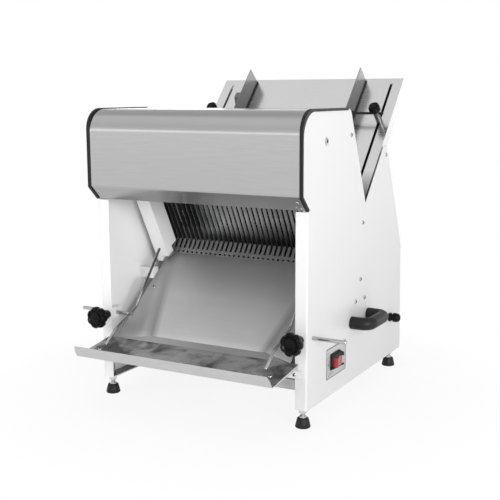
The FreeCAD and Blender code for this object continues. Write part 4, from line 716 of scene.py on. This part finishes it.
def ledge_cell(bm, x0, x1, y0, y1, holed, drop):
    """One cell of the sheet's upper or lower side, with a round hole where it has one."""
    def vert(x, y):
        return bm.verts.new(at(x, y, ledge_z(y) - drop))

    corners = [vert(x, y) for x, y in ((x0, y0), (x1, y0), (x1, y1), (x0, y1))]
    if not holed:
        bm.faces.new(corners)
        return None
    cx, cy = (x0 + x1) / 2, (y0 + y1) / 2
    angles = [radians(225) + 2 * pi * i / HOLE_SIDES for i in range(HOLE_SIDES)]
    ring = [vert(cx + HOLE_R * cos(a), cy + HOLE_R * sin(a)) for a in angles]
    per_side = HOLE_SIDES // 4
    for side in range(4):
        arc = [ring[(side * per_side + k) % HOLE_SIDES] for k in range(per_side + 1)]
        bm.faces.new([corners[side], corners[(side + 1) % 4]] + arc[::-1])
    return ring


def ledge_floor():
    """Perforated floor as a grid of cells, with plain margins and a turned-down border."""
    bm = bmesh.new()
    columns = round(2 * PERFORATED_HALF / HOLE_PITCH)
    hem = LEDGE_HALF - LEDGE_HEM
    xs = [-LEDGE_HALF, -hem, *(-PERFORATED_HALF + HOLE_PITCH * i for i in range(columns + 1)),
          hem, LEDGE_HALF]
    y0, y1 = LEDGE_FRONT[0], LEDGE_REAR[0]
    rows = int((y1 - y0 - 2 * LEDGE_MARGIN) / HOLE_PITCH)
    ys = [y0, *(y0 + LEDGE_MARGIN + HOLE_PITCH * i for i in range(rows + 1)), y1]
    for i in range(len(xs) - 1):
        for j in range(len(ys) - 1):
            holed = 2 <= i < len(xs) - 3 and 1 <= j < len(ys) - 2
            upper, lower = [ledge_cell(bm, *xs[i:i + 2], *ys[j:j + 2], holed, drop)
                            for drop in (0.0, LEDGE_T)]
            if upper:
                for k in range(HOLE_SIDES):
                    m = (k + 1) % HOLE_SIDES
                    bm.faces.new((upper[k], upper[m], lower[m], lower[k]))
    for x0, x1 in zip(xs, xs[1:]):
        for y in (y0, y1):
            bm.faces.new([bm.verts.new(at(x, y, ledge_z(y) - drop)) for x, drop in
                          ((x0, 0), (x1, 0), (x1, LEDGE_T), (x0, LEDGE_T))])
    finish_piece("crumb_ledge_floor", bm, LEDGE, ["crumb_ledge"], 40)


def ledge_edges():
    """Front lip with a hemmed top, side skirts and the tongue between the panels."""
    bm = bmesh.new()
    fy, fz = LEDGE_FRONT
    (ly, lz), w = LIP_TOP, LEDGE_HALF
    back = Vector((0, fz - lz, ly - fy)).normalized() * LIP_T
    profile = [(0.0, 0.0), (0.55, 0.0), (0.93, 0.0), (1.0, 0.3), (1.0, 0.7), (0.93, 1.0),
               (0.55, 1.0), (0.0, 1.0)]
    rows = []
    for i in range(25):
        ring = []
        for share, depth in profile:
            trim = max(share - 0.55, 0.0) / 0.45 * 4.0
            ring.append(at((w - trim) * (i / 12 - 1), fy + (ly - fy) * share + back.y * depth,
                           fz + (lz - fz) * share + back.z * depth))
        rows.append(ring)
    skin(bm, rows)
    ry, rz = LEDGE_REAR
    for side in (-1, 1):
        outer, inner = side * w, side * (w - LEDGE_T)
        outline = [(fy, fz - LEDGE_T), (ry, rz - LEDGE_T), (ry, rz - LEDGE_SKIRT)]
        skin(bm, [[at(x, y, z) for y, z in outline] for x in (inner, outer)])
    tongue = [(-LEDGE_INNER_HALF, ry), (LEDGE_INNER_HALF, ry), (CHUTE_FOOT[0], LEDGE_INNER_Y),
              (-CHUTE_FOOT[0], LEDGE_INNER_Y)]
    skin(bm, [[at(x, y, ledge_z(y) - drop) for x, y in tongue] for drop in (0, LEDGE_T)])
    piece = finish_piece("crumb_ledge_edges", bm, LIP)
    soften(piece, 0.35)


# ---- outfeed guides ----
def star_head(bm, centre, axis, radius, thickness, lobes, dish):
    """Lobed knob: rolled rim, dished face with a raised cap in it."""
    def shape(angle, r, h):
        valley = ((1 + cos(lobes * angle)) / 2) ** 3
        share = max(0.0, min(1.0, (r / radius - 0.78) / 0.14))
        return r * (1 - 0.13 * valley * share)

    face = ((0.5, 0.0), (0.86, 0.0), (0.95, 0.08), (1.0, 0.3), (1.0, 0.62), (0.965, 0.82),
            (0.90, 0.95), (0.82, 1.0), (0.76, 0.97), (0.70, 1 - dish * 0.6), (0.62, 1 - dish),
            (0.52, 1 - dish), (0.49, 1 - dish * 0.35), (0.44, 1 - dish * 0.2),
            (0.2, 1 - dish * 0.12), (0.04, 1 - dish * 0.1))
    profile = [(radius * a, thickness * b) for a, b in face]
    lathe(bm, profile, centre, axis, 84, shape)


def outfeed_knob(side, word):
    bm = bmesh.new()
    back = KNOB_FACE_Y + KNOB_T
    star_head(bm, at(side * KNOB_X, back, ROD_Z), -Y, KNOB_R, KNOB_T, 7, 0.22)
    boss = [(10.0, 0.0), (10.0, -20.0), (9.2, -24.0), (8.6, -27.4)]
    lathe(bm, boss, at(side * KNOB_X, back + 0.2, ROD_Z), -Y, 40)
    finish_piece("outfeed_knob_grip_" + word, bm, GLOSS_BLACK,
                 ["outfeed_knob_" + word], 28, "outfeed_knob_" + word)


def wire_guide(side, word):
    """Bent wire welded to its cross rod, with rounded wire ends and a chamfered rod end."""
    bm = bmesh.new()
    points = [at(side * WIRE_X, ROD_Y + dy, ROD_Z + dz) for dy, dz in WIRE_PATH]
    path = rounded(points, [WIRE_BEND * MM] * 4, 8)
    sweep(bm, path, WIRE_R * MM)
    length = ROD_OUT - WIRE_X
    profile = [(ROD_R * 0.6, -4.6), (ROD_R * 0.92, -4.2), (ROD_R, -3.4), (ROD_R, length - 1.0),
               (ROD_R * 0.8, length)]
    lathe(bm, profile, at(side * WIRE_X, ROD_Y, ROD_Z), X * side, 32)
    weld = [(ROD_R + 0.2, 1.5), (ROD_R + 1.1, 2.6), (ROD_R + 0.9, 3.8), (ROD_R + 0.1, 5.0)]
    lathe(bm, weld, at(side * WIRE_X, ROD_Y, ROD_Z), X * side, 28)
    finish_piece("wire_guide_bar_" + word, bm, WIRE,
                 ["wire_guide_" + word], 35, "outfeed_guide_" + word)


# ---- infeed tray ----
def slot_covers():
    """Channels under the tray's slots, wide enough for the clamp's washer and nut."""
    half, wall, top, low = 11.0, 1.2, -1.5, -9.0
    inner = half - wall
    # Painted light and shade: the two mirrored covers differ in finish only to match how light
    # falls.
    for side, word, material, slot in ((-1, "left", PLATED, "plated_steel"),
                                       (1, "right", SATIN_BLACK, "black_plastic")):
        bm = bmesh.new()
        x = side * POST_X
        outline = [(x - half, top), (x - half, low), (x + half, low), (x + half, top),
                   (x + inner, top), (x + inner, low + wall), (x - inner, low + wall),
                   (x - inner, top)]
        skin(bm, [[tray_point(px, t, h) for px, h in outline] for t in SLOT_COVER_T])
        piece = finish_piece("infeed_tray_slot_cover_" + word, bm, material)
        soften(piece, 0.3)


# ---- infeed clamp ----
def infeed_knob(side, word):
    bm = bmesh.new()
    low = tray_point(side * POST_X, POST_T, POST_H + 0.3)
    star_head(bm, low, TRAY_OFF, POST_KNOB_R, POST_KNOB_T, 5, 0.15)
    lathe(bm, [(2.7, 0.2), (2.7, -5.6)], low, TRAY_OFF, 20)
    finish_piece("infeed_knob_grip_" + word, bm, GLOSS_BLACK,
                 ["infeed_knob_" + word], 28, "infeed_knob_" + word)


def infeed_rod(side, word):
    """Threaded rod, with a hexagon nut against the guide plate."""
    bm = bmesh.new()
    centre = tray_point(side * (GUIDE_X + 1.0), POST_T, GUIDE_ROD_H)
    lathe(bm, [(6.0, 0.0), (6.0, 8.0), (5.0, 10.0)], centre, X * side, 6)
    threaded(bm, centre + X * side * 9.5 * MM, X * side, GUIDE_ROD_R, 70.5, 1.6, 0.45)
    finish_piece("infeed_rod_thread_" + word, bm, BLACK_STEEL,
                 ["infeed_rod_" + word], 30, "infeed_guide_" + word)


# ---- feet ----
def foot(name, x, y):
    body = "foot_" + name
    bm = bmesh.new()
    pad = [(FOOT_R - 3.0, 0.0), (FOOT_R - 1.0, 0.3), (FOOT_R - 0.4, 1.0), (FOOT_R, 2.2),
           (FOOT_R, 3.6), (FOOT_R - 0.9, 4.4), (FOOT_R - 0.8, 5.2), (FOOT_R - 1.1, 8.0),
           (FOOT_TOP_R + 1.0, 15.5), (FOOT_TOP_R + 0.3, 18.0), (FOOT_TOP_R - 1.2, 19.6),
           (FOOT_TOP_R - 3.0, FOOT_H)]
    lathe(bm, pad, at(x, y, 0), Z, 56)
    finish_piece(body + "_pad", bm, RUBBER, [body], 30, body)
    bm = bmesh.new()
    lathe(bm, [(7.5, 0.0), (7.5, 2.0), (6.6, 3.0)], at(x, y, FOOT_H), Z, 36)
    threaded(bm, at(x, y, FOOT_H + 2.5), Z, STEM_R, STEM_TOP - FOOT_H - 2.5, 1.5, 0.55)
    finish_piece(body + "_stem", bm, PLATED, (), 30, body)


def lock_nuts():
    bm = bmesh.new()
    height = NUT_TOP - NUT_LOW
    profile = [(NUT_R * 0.86, 0.0), (NUT_R, 1.0), (NUT_R, height - 1.0),
               (NUT_R * 0.86, height - 0.1)]
    for x in (-FOOT_X, FOOT_X):
        for y in (FOOT_Y0, FOOT_Y1):
            lathe(bm, profile, at(x, y, NUT_LOW), Z, 48,
                  lambda angle, r, h: min(hexagon(angle, NUT_R), r))
    finish_piece("foot_lock_nuts_hex", bm, PLATED, ["foot_lock_nuts"], 25)


# ---- handles, gland, switch ----
def handles():
    """A bent round grip on each side, slightly rounded where it meets the panel."""
    bm = bmesh.new()
    ends = [(0.0, 0.93), (0.6 / HANDLE_R, 0.99), (1.4 / HANDLE_R, 1.0)]
    reach, foot_x = HALF_W + HANDLE_REACH - HANDLE_R, HALF_W + 0.2
    for side in (-1, 1):
        points = [at(side * x, y, HANDLE_Z) for x, y in
                  ((foot_x, HANDLE_Y0), (reach, HANDLE_Y0), (reach, HANDLE_Y1),
                   (foot_x, HANDLE_Y1))]
        path = rounded(points, [HANDLE_BEND * MM] * 4, 10)
        sweep(bm, path, HANDLE_R * MM, 40, ends, Z)
    finish_piece("carry_handle_grips", bm, GRIP_BLACK, ["carry_handles"], 30)


def gland():
    """Base flange, neck, and a ribbed dome nut round an empty bore."""
    bm = bmesh.new()
    r, bore = GLAND_R, 4.0

    def ribs(angle, radius, height):
        if 11.5 < height < GLAND_OUT - 6 and radius > r * 0.8:
            return radius * (1 - 0.07 * (0.5 + 0.5 * cos(14 * angle)))
        if height < 5.5 and radius > r * 0.9:
            return hexagon(angle, radius)
        return radius

    end = GLAND_OUT
    body = ((0.68, -8.0), (0.68, 0.0), (0.9, 0.0), (1.0, 0.6), (1.0, 4.6), (0.9, 5.2), (0.72, 5.5),
            (0.72, 9.6), (0.86, 10.2), (1.0, 11.0), (1.0, 12.2), (1.0, end - 9), (0.97, end - 6),
            (0.88, end - 3.4), (0.74, end - 1.2), (0.58, end - 0.1))
    profile = [(bore, -8.0), *((r * share, height) for share, height in body),
               (bore * 1.1, end), (bore, end - 0.8)]
    lathe(bm, profile, at(HALF_W, GLAND_Y, GLAND_Z), X, 84, ribs, True)
    finish_piece("cable_gland_ribbed", bm, GLOSS_BLACK, ["cable_gland"], 32)


def control_panel():
    """Satin plate with a dark edge line, corner screws and plain marks."""
    face, line, inset = HALF_W + PLATE_T, 1.3, 6.5
    y0, y1, z0, z1 = PLATE_Y0, PLATE_Y1, PLATE_Z0, PLATE_Z1
    bm = bmesh.new()
    block(bm, at(HALF_W, y0, z0), at(face, y1, z1), 0.35)
    finish_piece("control_plate_satin", bm, PLATE, ["control_plate"])
    bm = bmesh.new()
    # Four dark strips along the plate's edges, in the same dark material as the marks.
    for lo, hi in (((y0, z0), (y1, z0 + line)), ((y0, z1 - line), (y1, z1)),
                   ((y0, z0), (y0 + line, z1)), ((y1 - line, z0), (y1, z1))):
        block(bm, at(face - 0.1, *lo), at(face + 0.12, *hi), 0.04, 1)
    mark_y = SWITCH_Y - SWITCH_W / 2 - DASH_GAP
    block(bm, at(face - 0.1, mark_y - 3.5, SWITCH_Z - 5),
          at(face + 0.1, mark_y + 3.5, SWITCH_Z - 3), 0.04, 1)
    ring_at = at(face, SWITCH_Y + SWITCH_W / 2 + RING_GAP, SWITCH_Z)
    lathe(bm, [(4.6, 0.0), (4.6, 0.12), (3.3, 0.12), (3.3, 0.0)], ring_at, X, 32, loop=True)
    for i in range(4):
        y = y0 + 12 + i * TICK_GAP
        block(bm, at(face - 0.1, y, z0 + 7), at(face + 0.1, y + 1.2, z0 + 13 - (i % 2) * 2),
              0.04, 1)
    finish_piece("control_plate_marks", bm, INK)
    bm, sockets = bmesh.new(), bmesh.new()
    for y in (y0 + inset, y1 - inset):
        for z in (z0 + inset, z1 - inset):
            screw_head(bm, sockets, at(face, y, z), X, 2.4, 1.0)
    finish_piece("control_plate_screws", bm, PLATED)
    finish_piece("control_plate_sockets", sockets, SHADOW)


def switch():
    """Guard whose rails narrow outwards, and the two-pad rocker between them."""
    x0 = HALF_W + PLATE_T
    y0, y1 = SWITCH_Y - SWITCH_W / 2, SWITCH_Y + SWITCH_W / 2
    z0, z1 = SWITCH_Z - SWITCH_H / 2, SWITCH_Z + SWITCH_H / 2
    bm = bmesh.new()
    out = SWITCH_OUT - PLATE_T
    outline = [(0, y0), (5.0, y0), (6.5, y0 + 4), (8.0, SWITCH_Y - 6), (7.4, SWITCH_Y),
               (out - 2.0, y1 - 6), (out, y1 - 2), (out - 1.2, y1), (0, y1)]
    for base, wall, thick in ((z0, 1, 3.4), (z1, -1, 6.5)):
        skin(bm, [[at(x0 + max(dx - tuck, 0.0), y, base + wall * (depth + dx * RAIL_LEAN))
                   for dx, y in outline] for depth, tuck in
                  ((0.0, 0.0), (0.6, 0.4), (thick - 0.8, 0.4), (thick, 0.0))])
    block(bm, at(x0, y0, z0), at(x0 + 2.5, y0 + 2.4, z1), 0.6)
    block(bm, at(x0, y1 - 2.4, z0), at(x0 + 4.0, y1, z1), 0.6)
    block(bm, at(HALF_W - 26.0, y0 + 3.2, z0 + 3.2), at(HALF_W - 4.0, y1 - 3.2, z1 - 3.2), 1.0)
    block(bm, at(x0 - 1.0, y0 - 1.0, z0 - 1.0), at(x0 + 1.4, y1 + 1.0, z1 + 1.0), 0.5)
    finish_piece("switch_guard_shell", bm, SATIN_BLACK, ["switch_guard"], 30)
    rocker(z0, z1)


def rocker(z0, z1):
    """Drum sector with two pads that meet in a shallow valley."""
    axis_x = HALF_W + ROCKER_AXIS_OUT
    half = ROCKER_R - 0.2
    crest, valley = [SWITCH_OUT - ROCKER_AXIS_OUT - low for low in (0.6, 3.2)]
    outline = [(-8.0, -half + 1.6), (0.0, -half)]
    for i in range(5):
        outline.append((crest * (0.55 + 0.45 * sin(radians(22.5 * i))),
                        -half + 1.4 * (1 - cos(radians(22.5 * i)))))
    outline += [(crest + (valley - crest) * s, -half + 1.4 + (half - 1.4) * s)
                for s in (0.3, 0.6, 0.85, 1)]
    outline += [(x, -y) for x, y in outline[-2::-1]]
    turn = radians(ROCKER_TILT)
    bm = bmesh.new()
    rings = []
    for z, tuck in ((z0 + 4.8, 0.6), (z0 + 5.4, 0.0), (z1 - 8.6, 0.0), (z1 - 8.0, 0.6)):
        ring = []
        for x, y in outline:
            x, y = x * (1 - tuck * 0.06), y * (1 - tuck * 0.03)
            ring.append(at(axis_x + x * cos(turn) - y * sin(turn),
                           SWITCH_Y + x * sin(turn) + y * cos(turn), z))
        rings.append(ring)
    skin(bm, rings)
    finish_piece("switch_rocker_pads", bm, RED, ["switch_rocker"], 25,
                 "switch_rocker")


# ---- fasteners ----
def screws():
    """Panel screws on both sides, and the small ones on hood, chute, ledge and brackets."""
    bm, sockets = bmesh.new(), bmesh.new()
    panel = [(place, (3.9, 1.4, 5.4, 0.72), 10.0) for place in PANEL_SCREWS]
    panel.append((GUIDE_SCREW, (5.6, 1.5, 8.8, 0.66), 13.0))
    for side in (-1, 1):
        for place, head, stem in panel:
            centre = at(side * HALF_W, *place)
            screw_head(bm, sockets, centre, X * side, *head)
            lathe(bm, [(3.0, 0.1), (3.0, -stem)], centre, X * side, 20)
    finish_piece("panel_screw_heads", bm, PLATED, ["panel_screws"], 30)
    bm = bmesh.new()
    bevel_out = Vector((0, -0.7, -0.714)).normalized()
    ledge_up = Vector((0, -0.139, 0.990))
    foot, top = Vector(CHUTE_FOOT), Vector(CHUTE_TOP)
    edge = foot.lerp(top, WING_SCREW_UP)
    wing = Vector(WING_FOOT).lerp(Vector(WING_TOP), WING_SCREW_UP)
    place = edge.lerp(wing, WING_SCREW_ACROSS)
    up = (wing - edge).cross(top - foot).normalized()
    up = up if up.z > 0 else -up
    ledge_x, ledge_y = LEDGE_SCREW
    small = [(BEVEL_SCREW, bevel_out, 3.4, 1.3)]
    small += [(pin, bevel_out, 2.0, 0.8) for pin in BEVEL_PINS]
    small += [(place + Z * 0.6, up, 4.2, 1.8),
              ((ledge_x, ledge_y, ledge_z(ledge_y)), ledge_up, 4.4, 1.8),
              (BRACKET_SCREW, -Y, 4.0, 1.8)]
    for side in (-1, 1):
        for (x, y, z), out, radius, height in small:
            screw_head(bm, sockets, at(side * x, y, z), Vector((side * out.x, out.y, out.z)),
                       radius, height)
    finish_piece("small_screws", bm, PLATED, (), 30)
    finish_piece("screw_sockets", sockets, SHADOW, (), 30)


# ---- stage ----
def ramp(tree, share, stops):
    made = node(tree, "ValToRGB", {"Fac": share})
    elements = made.color_ramp.elements
    while len(elements) < len(stops):
        elements.new(0.5)
    for element, (place, value) in zip(elements, stops):
        element.position = place
        element.color = grey(value)
    return made.outputs["Color"]


AMBIENT, FLOOR_FADE, FLOOR_NEAR = 0.50, (0.33, 0.62), 0.88
FRONT_SKY = ((0.0, 1.0), (0.50, 1.0), (0.60, 0.92), (0.70, 0.82), (0.90, 0.95), (1.0, 0.80))
BACK_SKY = ((0.0, 1.0), (0.56, 1.0), (0.64, 0.80), (0.80, 0.62), (0.92, 0.62), (1.0, 0.70))
BAND, FRONT_GAIN, BACK_GAIN = (0.500, 0.520, 0.560, 0.590), 0.9, 1.8


def make_world():
    """White for the camera; for reflections a soft box low in front and shaded overhead."""
    world = bpy.data.worlds.new("studio")
    SCENE.world = world
    world.use_nodes = True
    tree = world.node_tree
    tree.nodes.clear()
    rays = node(tree, "LightPath").outputs
    ahead = spot(tree, "Generated")
    height = remap(tree, ahead["Z"], -1.0, 1.0)
    behind = remap(tree, ahead["Y"], -0.12, 0.12)
    sky = mix(tree, behind, ramp(tree, height, FRONT_SKY), ramp(tree, height, BACK_SKY))
    sky = mix(tree, rays["Is Camera Ray"], sky, 1.0)
    band = calc(tree, "MINIMUM", remap(tree, height, *BAND[:2]),
                remap(tree, height, *BAND[2:], 1.0, 0.0))
    band = calc(tree, "MULTIPLY", band, remap(tree, behind, 0.0, 1.0, FRONT_GAIN, BACK_GAIN))
    band = calc(tree, "MULTIPLY", band, rays["Is Glossy Ray"])
    seen = calc(tree, "MAXIMUM", rays["Is Camera Ray"], rays["Is Glossy Ray"])
    seen = calc(tree, "MAXIMUM", seen, rays["Is Transmission Ray"])
    strength = calc(tree, "ADD", remap(tree, seen, 0.0, 1.0, AMBIENT, 1.0), band)
    back = node(tree, "Background", {"Color": sky, "Strength": strength})
    node(tree, "OutputWorld", {"Surface": back.outputs[0]})


def make_floor():
    """Pale floor that keeps the shadow near the object and turns white further out."""
    bm = bmesh.new()
    bmesh.ops.create_grid(bm, x_segments=1, y_segments=1, size=30.0)
    mesh = bpy.data.meshes.new("floor")
    bm.to_mesh(mesh)
    bm.free()
    floor = placed("floor", mesh)
    material, tree = new_material("pale_floor")
    place = node(tree, "TexCoord")
    reach = node(tree, "VectorMath", {0: place.outputs["Object"]}, operation="LENGTH")
    rays = node(tree, "LightPath").outputs
    far = remap(tree, reach.outputs["Value"], *FLOOR_FADE, FLOOR_NEAR, 1.0)
    share = calc(tree, "MULTIPLY", far, rays["Is Camera Ray"])
    share = calc(tree, "MAXIMUM", share, rays["Is Glossy Ray"])
    share = calc(tree, "MAXIMUM", share, rays["Is Transmission Ray"])
    pale = node(tree, "BsdfDiffuse", {"Color": grey(0.93)})
    white = node(tree, "Emission", {"Color": grey(1.0), "Strength": 1.0})
    both = node(tree, "MixShader", {0: share, 1: pale.outputs[0], 2: white.outputs[0]})
    node(tree, "OutputMaterial", {"Surface": both.outputs[0]})
    mesh.materials.append(material)


# name, place, target, width, height, power, seen in reflections
LAMPS = (
    ("overhead", (0.1, -0.5, 2.4), (0.0, 0.0, 0.35), 2.0, 1.6, 10.0, False),
    ("front_left", (-1.7, -2.4, 1.5), (0.0, 0.0, 0.35), 1.5, 1.5, 8.0, False),
    ("front_right", (2.8, -2.4, 1.0), (0.0, 0.05, 0.30), 1.8, 1.4, 82.0, True),
    ("front_low", (-0.6, -3.0, 1.0), (0.0, 0.05, 0.30), 2.0, 1.2, 13.0, False),
)


def make_lamps():
    for name, place, target, width, height, power, seen in LAMPS:
        light = bpy.data.lights.new(name, "AREA")
        light.shape = "RECTANGLE"
        light.size, light.size_y = width, height
        light.energy = power
        lamp = placed(name, light)
        lamp.location = place
        lamp.visible_glossy = seen
        lamp.rotation_euler = (Vector(target) - Vector(place)).to_track_quat("-Z", "Y").to_euler()


def make_camera():
    azimuth, pitch = radians(CAMERA_AZIMUTH), radians(CAMERA_PITCH)
    ahead = Vector((-sin(azimuth) * cos(pitch), cos(azimuth) * cos(pitch), -sin(pitch)))
    data = bpy.data.cameras.new("camera")
    data.lens, data.sensor_width = LENS, SENSOR
    data.clip_start, data.clip_end = 0.05, 100.0
    camera = placed("camera", data)
    turn = ahead.to_track_quat("-Z", "Y").to_matrix()
    roll = Matrix.Rotation(radians(CAMERA_ROLL), 3, ahead)
    camera.matrix_world = Matrix.Translation(CAMERA_AT) @ (roll @ turn).to_4x4()
    SCENE.camera = camera


# ---- the whole ----
def build():
    dress_kept_nodes()
    blade_set("front", 0, FRONT_HOLDER_N)
    blade_set("rear", 1, REAR_HOLDER_N)
    chute()
    ledge_floor()
    ledge_edges()
    for side, word in ((-1, "left"), (1, "right")):
        outfeed_knob(side, word)
        wire_guide(side, word)
        infeed_knob(side, word)
        infeed_rod(side, word)
        foot("front_" + word, side * FOOT_X, FOOT_Y0)
        foot("rear_" + word, side * FOOT_X, FOOT_Y1)
    slot_covers()
    lock_nuts()
    handles()
    gland()
    control_panel()
    switch()
    screws()


make_camera()
make_world()
make_floor()
make_lamps()
build()
SCENE.view_settings.view_transform = "Standard"
